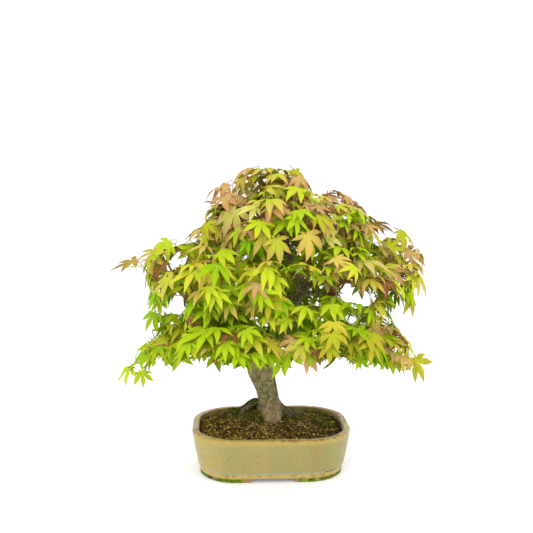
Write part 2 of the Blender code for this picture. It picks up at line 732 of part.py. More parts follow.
def main():
    wipe_scene()
    home = collection(MODEL_NAME)
    glaze = material("glaze", (0.47, 0.44, 0.20), 0.35)
    clay = material("foot_clay", (0.30, 0.17, 0.10), 0.8)
    earth = material("soil", (0.06, 0.04, 0.022), 0.95)
    bark = material("bark", (0.20, 0.17, 0.10), 0.8)
    leafage = material("leaf", (0.36, 0.52, 0.03), 0.5)

    make_pot(glaze, home)
    for end, sx in (("left", -1), ("right", 1)):
        for side, sy in (("front", -1), ("back", 1)):
            make_foot(f"foot_{side}_{end}", sx, sy, clay, home)
    make_soil(earth, home)
    trunk = make_trunk(bark, home)

    rng = random.Random(SEED)
    trunk_tree = tree_of([trunk])
    lines = [bough_line(limb, trunk_tree, rng) for limb in LIMBS]
    boughs = []
    for limb, (points, radii) in zip(LIMBS, lines):
        boughs.append(make_bough("bough_" + limb[0], points, radii, bark, home))
    limb_tree = tree_of([trunk, *boughs])

    spaces = [Space(limb[0], limb[5], limb[6]) for limb in LIMBS]
    spaces.append(Space(APEX[0], APEX[1], APEX[2]))
    for space in spaces:
        for other in spaces:
            if other is not space:
                space.meet(other)

    crown_tip, crown_radius = trunk_at(len(TRUNK_LINE) - 1)
    rise = (crown_tip - trunk_at(len(TRUNK_LINE) - 1.1)[0]).normalized()
    ends = [(line[0][-1], (line[0][-1] - line[0][-2]).normalized(), line[1][-1]) for line in lines]
    ends.append((crown_tip, rise, crown_radius))
    counts = [limb[7] for limb in LIMBS] + [APEX[3]]
    for number, (space, (tip, heading, radius), wanted) in enumerate(zip(spaces, ends, counts)):
        root = tip + heading * (GAP + 0.02 * MM)
        for attempt in range(ATTEMPTS):
            rng = random.Random(SEED + number * 100 + attempt)
            shapes, grown = grow_mass(space, root, heading, radius * 0.8, wanted, limb_tree, rng)
            made = join_shapes("leaves_" + space.name, shapes, leafage, home)
            if not touches_itself(made) or attempt == ATTEMPTS - 1:
                break
            bpy.data.objects.remove(made, do_unlink=True)
        made.data.calc_loop_triangles()
        print(f"{made.name}: {grown} of {wanted} leaves, {len(made.data.loop_triangles)} triangles")


main()
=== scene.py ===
"""The looks of a potted maple bonsai: a glazed pot with mossy feet, gritty soil with fine roots, a
trunk and boughs with bark, and a crown of drooping, toothed leaves on thin twigs, green inside and
touched with autumn colours outside. Metres, +Z up, -Y the front."""

import math
import random
from itertools import product

import bmesh
import bpy
import numpy as np
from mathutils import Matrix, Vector, noise
from mathutils.bvhtree import BVHTree

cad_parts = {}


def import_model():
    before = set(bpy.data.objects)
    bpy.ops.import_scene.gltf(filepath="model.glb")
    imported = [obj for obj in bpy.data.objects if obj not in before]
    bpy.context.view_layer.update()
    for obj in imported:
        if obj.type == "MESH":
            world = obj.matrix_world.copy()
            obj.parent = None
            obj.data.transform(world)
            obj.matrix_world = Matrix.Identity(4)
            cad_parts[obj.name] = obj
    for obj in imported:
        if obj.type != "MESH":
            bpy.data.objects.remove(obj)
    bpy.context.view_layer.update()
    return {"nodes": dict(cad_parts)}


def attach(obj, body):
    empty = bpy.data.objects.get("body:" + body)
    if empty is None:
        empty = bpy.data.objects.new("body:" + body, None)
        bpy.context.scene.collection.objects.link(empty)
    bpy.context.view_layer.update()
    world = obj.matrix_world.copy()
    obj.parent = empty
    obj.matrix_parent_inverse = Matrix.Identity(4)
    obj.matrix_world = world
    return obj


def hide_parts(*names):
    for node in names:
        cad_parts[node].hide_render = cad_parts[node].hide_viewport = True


MM = 0.001
SEED = 23

# Camera: a little above the crown's middle, in front and slightly to the left.
EYE = (-0.0496, -0.9682, 0.355)
CAMERA_TILT = 84.28
CAMERA_TURN = -2.64
LENS = 51.94
SENSOR = 36
FLOOR_RADIUS = 0.9
FLOOR_SIDES = 96
FLOOR_COLOUR = (0.92, 0.93, 0.97)
FLOOR_GLOW_COLOUR = (0.88, 0.92, 1, 1)
FLOOR_GLOW = 0.14
SEEN_WHITE = 1.1  # the surroundings as the camera sees them
SURROUND_LIGHT = 1.22  # and as they light the scene
LAMPS = [  # name, place, size and power
    ("lamp_front", (-0.7, -1.5, 1.3), 1.2, 11),
    ("lamp_right", (1.3, -0.7, 1.0), 1.0, 5),
    ("lamp_back", (0.3, 1.5, 1.3), 1.2, 8),
]
LAMP_AIM = Vector((0, 0, 0.18))

# Sizes of the pot, the soil and the trunk.
GAP = 0.3 * MM
POT_LENGTH = 200 * MM
POT_DEPTH = 153 * MM
POT_HEIGHT = 56 * MM
POT_CORNER = 57 * MM
POT_TAPER = 8.0 * MM
POT_WALL = 8.6 * MM
POT_FLOOR = 7 * MM
LIP_ROUND = 2.2 * MM
LEDGE_Z = 12.3 * MM
LEDGE_STEP = 1.6 * MM
FOOT_HEIGHT = 5 * MM
FOOT_WIDTH = 11 * MM
FOOT_INSET = 2.0 * MM
FOOT_END_X = 27 * MM
FOOT_END_Y = 13.5 * MM
SOIL_RIM_Z = 50 * MM
SEAT_Z = 57 * MM
SEAT_CENTRE = Vector((4, 14, 0)) * MM
SEAT_HALF = (51 * MM, 27 * MM)
SEAT_SLOPE = 0.42
MOUND_CENTRE = Vector((-50, 46, 0)) * MM
MOUND_RADIUS = 19 * MM
MOUND_HEIGHT = 9 * MM
MOUND_EDGE = 0.15
TRUNK_LINE = [  # x, y, z, radius in mm
    (0, 14, 57.3, 16.0),
    (-1, 13, 70, 14.5),
    (-3.4, 12, 90, 13.4),
    (-8.5, 10, 115, 13.6),
    (-13.0, 7, 138, 13.4),
    (-7.0, 4, 156, 12.4),
    (8.0, 1, 175, 10.6),
    (22.4, 0, 196, 8.4),
    (35.0, 2, 222, 6.2),
    (39.0, 4, 237, 5.6),
    (34.0, 4, 252, 5.2),
    (24.0, 2, 272, 4.9),
    (18.0, 0, 296, 3.8),
    (12.0, -1, 322, 2.2),
]
TRUNK_RIPPLE = 0.04
# Where the flare reaches out: azimuth, reach in mm and spread in degrees.
FLARE_ROOTS = [(196, 12, 26), (6, 24, 26), (268, 5, 30), (312, 6, 26), (150, 10, 24), (85, 12, 30)]
FLARE_HEIGHT = 28 * MM
FLARE_FADE = 1.9
TRUNK_BULGE = (122, 180, 5.0, 55, 17)  # height, azimuth, reach, spread in degrees, half height
# Each bough: name, height where it leaves the trunk, radius there and at its tip, and its arch.
# Each mass: centre and half sizes, all in mm, and the number of leaves it tries for here.
LIMBS = [
    ("low_left", 150, 3.8, 1.9, 8, (-124, -5, 160), (80, 62, 48), 52),
    ("low_right", 168, 4.0, 2.0, 10, (140, -8, 156), (66, 62, 48), 50),
    ("low_front_left", 143, 3.2, 1.7, 12, (-50, -88, 164), (64, 60, 46), 46),
    ("low_front_right", 161, 3.2, 1.7, 10, (62, -88, 164), (64, 60, 46), 46),
    ("low_back_left", 147, 3.4, 1.8, 10, (-55, 90, 162), (68, 60, 46), 44),
    ("low_back_right", 165, 3.4, 1.8, 10, (65, 90, 162), (68, 60, 46), 44),
    ("mid_left", 158, 6.0, 3.0, 14, (-130, 5, 246), (74, 60, 48), 50),
    ("mid_right", 226, 3.4, 1.9, 4, (146, 5, 242), (62, 60, 50), 48),
    ("mid_front_left", 182, 3.2, 1.8, 8, (-74, -74, 236), (60, 56, 48), 46),
    ("mid_front", 199, 3.0, 1.7, 8, (6, -96, 238), (56, 54, 48), 46),
    ("mid_front_right", 213, 3.0, 1.7, 6, (84, -75, 234), (60, 54, 48), 46),
    ("mid_back_left", 189, 3.2, 1.8, 8, (-75, 76, 236), (62, 58, 48), 42),
    ("mid_back", 205, 3.0, 1.7, 8, (6, 98, 238), (56, 54, 48), 42),
    ("mid_back_right", 219, 3.0, 1.7, 6, (84, 78, 236), (62, 56, 48), 42),
    ("upper_left", 278, 2.7, 1.6, 2, (-62, 0, 308), (56, 60, 46), 46),
    ("upper_right", 254, 3.2, 1.7, 2, (95, 0, 304), (66, 60, 46), 50),
    ("upper_front", 264, 2.6, 1.6, 2, (14, -60, 304), (60, 56, 48), 48),
    ("upper_back", 270, 2.6, 1.6, 2, (14, 62, 304), (60, 56, 48), 44),
]
APEX = ("apex", (5, 0, 345), (58, 54, 42), 48)
BOUGH_POINTS = 7
BOUGH_LIFT = 0.35
BOUGH_WAVER = 0.035
BOUGH_WAVES = 5.5
BOUGH_SEED = 11
ENTRY = 0.62
CROWN_LOW = np.array((-205, -151, 104)) * MM
CROWN_HIGH = np.array((209, 151, 387)) * MM


def smooth_step(value):
    value = min(1, max(0, value))
    return value * value * (3 - 2 * value)


# ---------------------------------------------------------------- materials


class Look:
    """A Principled material being put together from nodes, on object coordinates in metres."""

    def __init__(self, name, roughness=0.6, specular=0.5):
        self.material = bpy.data.materials.new(name)
        self.material.use_nodes = True
        self.tree = self.material.node_tree
        self.shader = self.tree.nodes["Principled BSDF"]
        self.shader.inputs["Roughness"].default_value = roughness
        self.shader.inputs["Specular IOR Level"].default_value = specular
        self.coords = self.tree.nodes.new("ShaderNodeTexCoord").outputs["Object"]

    def put(self, socket, value):
        if isinstance(value, bpy.types.NodeSocket):
            self.tree.links.new(value, socket)
        else:
            socket.default_value = value

    def made(self, kind, output, inputs, **settings):
        """One output of a new node, with values or links in its inputs."""
        node = self.tree.nodes.new(kind)
        for key, value in settings.items():
            setattr(node, key, value)
        for key, value in inputs.items():
            self.put(node.inputs[key], value)
        return node.outputs[output]

    def math(self, operation, *values):
        return self.made("ShaderNodeMath", 0, dict(enumerate(values)), operation=operation)

    def times(self, found, *others):
        for other in others:
            found = self.math("MULTIPLY", found, other)
        return found

    def noise(self, scale, detail=3, roughness=0.55, stretch=1):
        """Noise with this many waves a metre, or this share of them along Z."""
        coords = self.coords
        if stretch != 1:
            coords = self.made("ShaderNodeMapping", 0, {"Vector": coords, "Scale": (1, 1, stretch)})
        inputs = {"Vector": coords, "Scale": scale, "Detail": detail, "Roughness": roughness}
        return self.made("ShaderNodeTexNoise", "Fac", inputs)

    def ramp(self, value, *stops):
        """Colours, or greys, at places from 0 to 1."""
        found = self.made("ShaderNodeValToRGB", 0, {0: value})
        bar = found.node.color_ramp.elements
        while len(bar) < len(stops):
            bar.new(0.5)
        for element, (place, colour) in zip(bar, stops):
            element.position = place
            element.color = (*colour, 1) if isinstance(colour, tuple) else (colour, colour, colour, 1)
        return found

    def patches(self, scale, start, full, detail=3, roughness=0.7, stretch=1):
        """Patches of noise: 0 where it is under start, and 1 where it is over full."""
        return self.ramp(self.noise(scale, detail, roughness, stretch), (start, 0.0), (full, 1.0))

    def share(self, value, low, high):
        """How far a value has come on its way from low to high, from 0 to 1."""
        return self.made("ShaderNodeMapRange", 0, {"Value": value, "From Min": low, "From Max": high})

    def band(self, value, low, high, soft):
        """1 where value lies between low and high, fading out over soft."""
        return self.times(self.share(value, low - soft, low), self.share(value, high + soft, high))

    def mix(self, share, low, high):
        colours = {6: low, 7: high}
        colours = {key: (*value, 1) if isinstance(value, tuple) else value for key, value in colours.items()}
        return self.made("ShaderNodeMix", 2, {"Factor": share, **colours}, data_type="RGBA")

    def split(self):
        """The place along X, Y and Z."""
        return self.made("ShaderNodeSeparateXYZ", 0, {0: self.coords}).node.outputs

    def layers(self, colour, axes, rows):
        """Lays rows over a colour: the tint of each, how much of it, its patches and its bands in mm."""
        for tint, amount, patches, *bands in rows:
            masks = [self.band(axes[axis], *(edge * MM for edge in edges)) for axis, *edges in bands]
            if patches:
                masks.append(self.patches(*patches))
            colour = self.mix(self.times(*masks, amount), colour, tint)
        return colour

    def finish(self, colour, relief=None, depth=0, strength=1.0):
        """The material, with its colour and with a relief of this depth in mm."""
        self.put(self.shader.inputs["Base Color"], colour)
        if relief is not None:
            inputs = {"Strength": strength, "Distance": depth * MM, "Height": relief}
            self.put(self.shader.inputs["Normal"], self.made("ShaderNodeBump", 0, inputs))
        return self.material


def plain(name, colour, roughness=0.55, specular=0.4):
    return Look(name, roughness, specular).finish((*colour, 1))


# What a leaf's colour is near its stalk, and what it turns into at its tips.
TINTS = {
    "deep": ((0.205, 0.345, 0.004), (0.245, 0.385, 0.005)),
    "green": ((0.240, 0.400, 0.005), (0.305, 0.455, 0.006)),
    "vivid": ((0.210, 0.420, 0.004), (0.260, 0.460, 0.005)),
    "fresh": ((0.320, 0.470, 0.006), (0.390, 0.510, 0.010)),
    "mixed": ((0.370, 0.500, 0.008), (0.500, 0.510, 0.030)),
    "lime": ((0.420, 0.530, 0.012), (0.500, 0.550, 0.025)),
    "yellow": ((0.480, 0.540, 0.020), (0.570, 0.490, 0.050)),
    "pale": ((0.560, 0.580, 0.100), (0.640, 0.560, 0.200)),
    "blush": ((0.440, 0.480, 0.030), (0.560, 0.360, 0.100)),
    "tanned": ((0.430, 0.400, 0.035), (0.500, 0.315, 0.085)),
    "dusty": ((0.470, 0.450, 0.090), (0.520, 0.340, 0.150)),
    "olive": ((0.360, 0.400, 0.012), (0.400, 0.300, 0.030)),
    "bronze": ((0.380, 0.280, 0.040), (0.290, 0.150, 0.035)),
    "rose": ((0.490, 0.330, 0.110), (0.450, 0.190, 0.090)),
    "salmon": ((0.560, 0.380, 0.120), (0.560, 0.260, 0.110)),
    "peach": ((0.560, 0.450, 0.075), (0.600, 0.360, 0.120)),
    "gold": ((0.520, 0.470, 0.030), (0.580, 0.400, 0.055)),
    "dried": ((0.210, 0.090, 0.030), (0.140, 0.045, 0.020)),
}
VEIN_COLOUR = (0.690, 0.600, 0.180)
# How far each zone of a leaf has turned, and how much of the veins' colour it has.
ZONES = {"inner": (0.0, 0.0), "outer": (0.5, 0.0), "tip": (1.0, 0.0), "vein": (0.5, 0.4)}
STALKS = {"stalk_green": (0.330, 0.330, 0.040), "stalk_red": (0.330, 0.075, 0.030)}
TWIG_COLOUR = (0.230, 0.062, 0.026)


def between(low, high, share):
    return tuple(a + (b - a) * share for a, b in zip(low, high))


def leaf_looks():
    looks = {}
    for tint, (near, far) in TINTS.items():
        for zone, (turned, veined) in ZONES.items():
            name = f"leaf_{tint}_{zone}"
            looks[name] = plain(name, between(between(near, far, turned), VEIN_COLOUR, veined), 0.6, 0.01)
    looks.update({name: plain(name, colour) for name, colour in STALKS.items()})
    looks["twig"] = plain("twig", TWIG_COLOUR, 0.7)
    return looks


# Layers of colour are rows with a tint, how much of it, its patches (waves a metre, where in the
# noise they start and are full, and its detail, roughness and stretch) and its bands (an axis,
# from where to where and how soft, in mm). Later rows lie over earlier ones.
OVER_RIM = 80
LEDGE = LEDGE_Z / MM
FOOT_BAND = ("level", -10, LEDGE - 1.3, 0.8)
FLAKES_SPAN = ("x", 12, 120, 25)
WORN = (95, 0.46, 0.58, 4)
GLAZE_CLOUDS = (17, 0.40, 0.60, 3, 0.6)
STRAW = (0.371, 0.275, 0.084)
CELADON = (0.291, 0.266, 0.087)
GLAZE_LAYERS = [
    # Runs, a paler left end that is partly painted light, grey mottling, dark specks and a rusty stain.
    ((0.398, 0.286, 0.077), 0.35, (75, 0.42, 0.68, 3, 0.6, 0.2)),
    # Paler left end: partly the glaze's own yellower tone, partly painted light on the lit left corner.
    ((0.465, 0.361, 0.101), 0.60, None, ("x", -140, -78, 26)),
    ((0.275, 0.285, 0.130), 0.50, (210, 0.50, 0.66)),
    ((0.240, 0.180, 0.052), 0.60, (430, 0.53, 0.64)),
    ((0.295, 0.172, 0.038), 0.50, (60, 0.36, 0.58, 4, 0.7, 0.45), ("x", 52, 60, 12)),
    # The rim: thin glaze below it, its pale top, worn places, an ochre front, chips and flakes.
    ((0.440, 0.322, 0.076), 0.70, None, ("level", 51.5, OVER_RIM, 3.5)),
    ((0.465, 0.352, 0.118), 1.00, None, ("level", 54.8, OVER_RIM, 0.8)),
    ((0.385, 0.238, 0.063), 0.55, WORN, ("level", 52.8, OVER_RIM, 1.0)),
    ((0.425, 0.292, 0.062), 0.70, None, ("level", 53.0, OVER_RIM, 1.0), ("y", -120, -60, 8)),
    ((0.134, 0.070, 0.029), 1.00, (260, 0.60, 0.66, 3, 0.75), ("level", 53.2, OVER_RIM, 1.0)),
    ((0.170, 0.084, 0.038), 0.80, (170, 0.49, 0.58, 3, 0.75), ("level", 54.2, OVER_RIM, 0.6), FLAKES_SPAN),
    # The foot band, grime on it, pale pooled glaze on the ledge and a dark patchy line under the ledge's
    # right end.
    ((0.485, 0.352, 0.094), 0.80, None, FOOT_BAND),
    ((0.242, 0.145, 0.042), 0.75, (150, 0.50, 0.64, 4), FOOT_BAND),
    ((0.322, 0.387, 0.277), 0.75, None, ("z", LEDGE - 1.0, LEDGE + 0.8, 0.6)),
    ((0.067, 0.057, 0.025), 1.00, (220, 0.42, 0.50), ("z", LEDGE - 1.4, LEDGE + 0.2, 0.5), ("x", 66, 120, 6)),
]
CLAY_SPOTS = (130, 0.46, 0.56, 4)
CLAY = (0.330, 0.170, 0.095)
CLAY_SPOTTED = (0.420, 0.340, 0.110)
REDDISH_ENDS = FOOT_END_X / MM + 7
FOOT_LAYERS = [
    # Cream spots, dark grime, patches of moss and reddish inner ends.
    ((0.640, 0.520, 0.250), 1.00, (170, 0.56, 0.62, 4, 0.75)),
    ((0.045, 0.035, 0.025), 1.00, (210, 0.50, 0.57, 4, 0.75)),
    ((0.230, 0.290, 0.018), 1.00, (95, 0.46, 0.51)),
    ((0.420, 0.165, 0.095), 0.75, None, ("x", -REDDISH_ENDS, REDDISH_ENDS, 2)),
]
SOIL_LAYERS = [((0.077, 0.095, 0.009), 0.70, (38, 0.50, 0.62, 4), ("x", -10, 200, 50))]


def glaze_look():
    """Celadon and straw-coloured glaze, thin and ochre at the rim, pooled pale at the ledge."""
    look = Look("glaze", 0.36, 0.35)
    x, y, z = look.split()
    wobble = look.math("MULTIPLY_ADD", look.noise(90, 2), 4 * MM, -2 * MM)
    axes = {"x": x, "y": y, "z": z, "level": look.math("ADD", z, wobble)}
    colour = look.layers(look.mix(look.patches(*GLAZE_CLOUDS), STRAW, CELADON), axes, GLAZE_LAYERS)
    roughness = look.math("MULTIPLY_ADD", look.patches(*WORN), 0.18, 0.30)
    look.put(look.shader.inputs["Roughness"], roughness)
    relief = look.math("ADD", look.noise(110), look.times(look.noise(600, 2), 0.3))
    return look.finish(colour, relief, 0.7, 0.5)


def inside_look():
    look = Look("glaze_inside", 0.6, 0.3)
    # Damp, darker olive patches on the inside wall.
    dark_patches = look.patches(70, 0.42, 0.60, 4, 0.65)
    colour = look.mix(dark_patches, (0.400, 0.288, 0.099), (0.177, 0.167, 0.032))
    return look.finish(colour, look.noise(400), 0.6, 0.6)


def foot_look():
    """Bare reddish clay with spots of glaze and dark grime, and patches of green moss."""
    look = Look("foot", 0.75, 0.3)
    colour = look.mix(look.patches(*CLAY_SPOTS), CLAY, CLAY_SPOTTED)
    colour = look.layers(colour, {"x": look.split()[0]}, FOOT_LAYERS)
    return look.finish(colour, look.noise(500, 4, 0.7), 1.2, 0.8)


def under_look():
    look = Look("bare_clay", 0.85, 0.2)
    colour = look.mix(look.noise(60, 4, 0.6), (0.400, 0.240, 0.150), (0.260, 0.150, 0.090))
    return look.finish(colour, look.noise(700), 0.5, 0.6)


def soil_look():
    look = Look("soil", 0.95, 0.15)
    cells = look.made("ShaderNodeTexVoronoi", "Distance", {"Vector": look.coords, "Scale": 420})
    crumbs = look.ramp(cells, (0.15, 0.0), (0.75, 1.0))
    colour = look.mix(crumbs, (0.153, 0.090, 0.019), (0.050, 0.027, 0.007))
    colour = look.layers(colour, {"x": look.split()[0]}, SOIL_LAYERS)
    return look.finish(colour, look.math("ADD", look.noise(900, 4, 0.7), crumbs), 1.5)


# Ring scars round the trunk: where each crosses the front, in mm, and how steeply it climbs to
# the right.
RING_SCARS = [
    (-11, 115.5, 0.5), (0, 107, 0.9), (-15, 136, -0.15), (-2, 84, 0.4), (-8, 147, 0.5), (12, 186, -0.4),
]
RING_WIDTH = 0.9 * MM


# The bark's colour up the trunk, at shares of the way between two heights.
BARK_FROM = 50 * MM
BARK_TO = 250 * MM
BARK_BANDS = [
    (0.02, (0.307, 0.214, 0.107)), (0.08, (0.344, 0.232, 0.129)), (0.135, (0.326, 0.223, 0.120)),
    (0.175, (0.200, 0.200, 0.065)), (0.31, (0.177, 0.187, 0.052)), (0.345, (0.316, 0.232, 0.112)),
    (0.43, (0.298, 0.218, 0.095)), (0.50, (0.186, 0.164, 0.056)), (1.0, (0.121, 0.114, 0.030)),
]
CRACKS = (300, 0.54, 0.64, 4, 0.75, 0.22)
BARK_LAYERS = [
    # Pale freckles, olive stains and cracks.
    ((0.521, 0.391, 0.198), 0.70, (340, 0.46, 0.60, 4)),
    ((0.088, 0.096, 0.022), 0.60, (120, 0.47, 0.64, 4)),
    ((0.056, 0.038, 0.017), 0.75, CRACKS),
]
MOSS_AND_PAINTED_SHADE = (0.056, 0.053, 0.012)
SCAR_COLOUR = (0.420, 0.320, 0.180)


def bark_look():
    """Smooth olive bark with paler, pinkish-brown bands, fine fissures, pale ring scars and dark
    moss low on its sides, painted darker still as the shade at the trunk's foot."""
    look = Look("bark", 0.72, 0.3)
    x, _, z = look.split()
    level = look.math("MULTIPLY_ADD", look.noise(55, 3, 0.6), 22 * MM, look.math("ADD", z, -11 * MM))
    colour = look.ramp(look.share(level, BARK_FROM, BARK_TO), *BARK_BANDS)
    colour = look.layers(colour, {}, BARK_LAYERS)
    # Low on the trunk's sides: moss, painted darker still as the shade at its foot.
    sides = look.math("ADD", look.band(x, 17 * MM, 80 * MM, 6 * MM), look.band(x, -80 * MM, -12 * MM, 6 * MM))
    patches = look.ramp(look.noise(150, 4, 0.7), (0.38, 0.35), (0.56, 1.0))
    dark_patches = look.times(sides, look.band(z, 40 * MM, 77 * MM, 6 * MM), patches)
    colour = look.mix(dark_patches, colour, MOSS_AND_PAINTED_SHADE)
    for across, height, climb in RING_SCARS:
        line = look.math("MULTIPLY_ADD", x, -climb, z)
        line = look.math("ADD", line, (across * climb - height) * MM)
        line = look.math("ADD", line, look.math("MULTIPLY_ADD", look.noise(130, 2), 4 * MM, -2 * MM))
        ring = look.band(line, -RING_WIDTH * 0.4, RING_WIDTH * 0.4, RING_WIDTH * 0.5)
        colour = look.mix(look.times(ring, 0.4), colour, SCAR_COLOUR)
    relief = look.math("ADD", look.noise(330, 5, 0.7, 0.3), look.times(look.patches(*CRACKS), -0.7))
    return look.finish(colour, relief, 1.1, 0.8)


def moss_look(name, colour):
    look = Look(name, 0.9, 0.15)
    return look.finish(look.mix(look.noise(260), colour, tuple(c * 0.55 for c in colour)))


# ---------------------------------------------------------------- meshes


class Heap:
    """Points, faces and a material for each face, gathered into one mesh."""

    def __init__(self, looks):
        self.looks = list(looks)
        self.slots = {name: i for i, name in enumerate(self.looks)}
        self.points = []
        self.faces = []
        self.kinds = []

    def add(self, points, faces, look):
        """look is one name for all the faces, or a list with a name for each."""
        start = len(self.points)
        self.points.extend(map(tuple, points))
        self.faces.extend([tuple(start + i for i in face) for face in faces])
        names = [look] * len(faces) if isinstance(look, str) else look
        self.kinds.extend(self.slots[name] for name in names)

    def object(self, name, materials):
        mesh = bpy.data.meshes.new(name)
        mesh.from_pydata(self.points, [], self.faces)
        for look in self.looks:
            mesh.materials.append(materials[look])
        mesh.polygons.foreach_set("material_index", self.kinds)
        mesh.shade_smooth()
        made = bpy.data.objects.new(name, mesh)
        bpy.context.scene.collection.objects.link(made)
        return made


def piece(made, nodes=()):
    """A finished piece: it stands on the part's one body and may stand for solids."""
    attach(made, "root")
    if nodes:
        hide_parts(*nodes)
    return made


def loft(rings):
    """A closed skin over rings of points, as points and faces."""
    count = len(rings[0])
    points = [p for ring in rings for p in ring]
    faces = []
    for low in range(0, len(points) - count, count):
        for i in range(count):
            j = (i + 1) % count
            faces.append((low + i, low + j, low + count + j, low + count + i))
    faces.append(tuple(reversed(range(count))))
    faces.append(tuple(range(len(points) - count, len(points))))
    return points, faces


def face_outwards(made, degrees=None):
    """Turns a piece's faces outwards and keeps edges over this many degrees sharp."""
    shape = bmesh.new()
    shape.from_mesh(made.data)
    bmesh.ops.recalc_face_normals(shape, faces=shape.faces)
    if shape.calc_volume(signed=True) < 0:
        bmesh.ops.reverse_faces(shape, faces=shape.faces)
    shape.to_mesh(made.data)
    shape.free()
    made.data.shade_smooth()
    if degrees:
        made.data.set_sharp_from_angle(angle=math.radians(degrees))


def round_way(turn):
    """The level direction at an angle from +X."""
    return Vector((math.cos(turn), math.sin(turn), 0))


def disc_rim(centre, side, up, radius, count):
    """Points round a disc that lies in the plane of side and up."""
    turns = [2 * math.pi * k / count for k in range(count)]
    return [centre + (side * math.cos(turn) + up * math.sin(turn)) * radius for turn in turns]


def tube(points, radii, sides):
    """A round tube through points, with closed ends."""
    rings = []
    side = None
    for i, (point, radius) in enumerate(zip(points, radii)):
        way = (points[min(i + 1, len(points) - 1)] - points[max(i - 1, 0)]).normalized()
        if side is None:
            side = way.orthogonal().normalized()
        side = (side - way * side.dot(way)).normalized()
        rings.append(disc_rim(point, side, way.cross(side), radius, sides))
    return loft(rings)


# ---------------------------------------------------------------- pot and feet

CORNER_STEPS = 20
SIDE_STEPS = (16, 12)  # points along the straight runs of the pot's front and of its ends
POT_UNEVEN = 0.35 * MM


def rounded_ring(half_x, half_y, corner, z):
    """A rounded rectangle as evenly set points, anticlockwise from above."""
    arcs = []
    for quarter, (sx, sy) in enumerate(((1, 1), (-1, 1), (-1, -1), (1, -1))):
        centre = Vector((sx * (half_x - corner), sy * (half_y - corner), z))
        turns = [math.radians(90 * (quarter + step / CORNER_STEPS)) for step in range(CORNER_STEPS + 1)]
        arcs.append([centre + round_way(turn) * corner for turn in turns])
    ring = []
    for quarter, arc in enumerate(arcs):
        steps = SIDE_STEPS[quarter % 2]
        after = arcs[(quarter + 1) % 4][0]
        ring += arc + [arc[-1].lerp(after, step / steps) for step in range(1, steps)]
    return ring


def pot_ring(inset, z):
    return rounded_ring(POT_LENGTH / 2 - inset, POT_DEPTH / 2 - inset, POT_CORNER - inset, z)


def wall_inset(z):
    drop = (POT_HEIGHT - z) / (POT_HEIGHT - LEDGE_Z)
    return POT_TAPER * drop ** 1.25


def quarter_turns(first, last, step):
    """Sines and cosines of angles in degrees."""
    turns = [math.radians(degrees) for degrees in range(first, last + 1, step)]
    return [(math.sin(turn), math.cos(turn)) for turn in turns]


# From the foot band over the ledge to the wall: inset from the band and height over LEDGE_Z, mm.
LEDGE_SECTION = [(-0.2, -3.4), (0, -1.7), (-0.1, -1.0), (-0.6, -0.5), (-1.2, -0.1), (-1.6, 0.5)]
WALL_LEVELS = range(15, 53, 2)  # mm
FOOT_ROUND = 1.5 * MM
WALL_SINK = 0.1 * MM
RIM_SAG = 0.25 * MM
RIM_WAVE = 0.3 * MM
RIM_FROM = 50 * MM
# Down the inside: inset from the wall's thickness and height, mm.
INSIDE_SECTION = [(0.4, 50), (1.6, 44), (POT_TAPER / MM, (FOOT_HEIGHT + POT_FLOOR) / MM)]
GLAZED_INSIDE = 3  # rings of the rim's inner round that have the outer glaze


def pot_profile():
    """The pot's section as insets and heights, from its foot over the rim and down inside, and how
    many of them come before the rim's inner round."""
    band = POT_TAPER + LEDGE_STEP
    profile = [
        (band + FOOT_ROUND * (1 - sine), FOOT_HEIGHT + FOOT_ROUND * (1 - cosine))
        for sine, cosine in quarter_turns(0, 90, 30)
    ]
    profile += [(band + inset * MM, LEDGE_Z + rise * MM) for inset, rise in LEDGE_SECTION]
    profile += [(wall_inset(z * MM) - WALL_SINK, z * MM) for z in WALL_LEVELS]
    profile += [
        (LIP_ROUND * (1 - cosine), POT_HEIGHT - LIP_ROUND * (1 - sine))
        for sine, cosine in quarter_turns(0, 90, 15)
    ]
    for share in (0.33, 0.66):
        profile.append((LIP_ROUND + share * (POT_WALL - 2 * LIP_ROUND), POT_HEIGHT - RIM_SAG * share))
    outside = len(profile)
    profile += [
        (POT_WALL - LIP_ROUND * (1 + cosine), POT_HEIGHT - LIP_ROUND * (1 - sine))
        for sine, cosine in quarter_turns(90, 180, 15)
    ]
    profile += [(POT_WALL + inset * MM, z * MM) for inset, z in INSIDE_SECTION]
    return profile, outside


def make_pot(looks):
    """The pot's skin by rings, each a little uneven."""
    profile, outside = pot_profile()
    rings = []
    for inset, z in profile:
        ring = pot_ring(inset, z)
        for point in ring:
            out = Vector((point.x, point.y, 0)).normalized()
            swell = noise.noise(point * 22) + 0.4 * noise.noise(point * 70)
            point += out * swell * POT_UNEVEN
            if z > RIM_FROM:
                point.z += RIM_WAVE * noise.noise(point * 30)
        rings.append(ring)
    kinds = []
    for level in range(len(rings) - 1):
        kinds += ["glaze_inside" if level > outside + GLAZED_INSIDE else "glaze"] * len(rings[0])
    kinds += ["bare_clay", "glaze_inside"]
    heap = Heap(["glaze", "glaze_inside", "bare_clay"])
    heap.add(*loft(rings), kinds)
    made = heap.object("pot_glazed", looks)
    face_outwards(made, 60)
    return piece(made, ["pot"])


def foot_line(inset):
    """The line of a corner foot's outer face, drawn in by inset, where X and Y are positive."""
    band = POT_TAPER + LEDGE_STEP + inset
    half_x = POT_LENGTH / 2 - band
    half_y = POT_DEPTH / 2 - band
    corner = POT_CORNER - band
    centre = Vector((half_x - corner, half_y - corner, 0))
    line = [Vector((half_x, FOOT_END_Y + t * (centre.y - FOOT_END_Y), 0)) for t in (0, 0.3, 0.6, 0.9)]
    turns = [math.radians(90 * step / CORNER_STEPS) for step in range(CORNER_STEPS + 1)]
    line += [centre + round_way(turn) * corner for turn in turns]
    end = Vector((FOOT_END_X, half_y, 0))
    start = line[-1]
    return line + [start.lerp(end, t) for t in (0.2, 0.4, 0.6, 0.8, 1.0)]


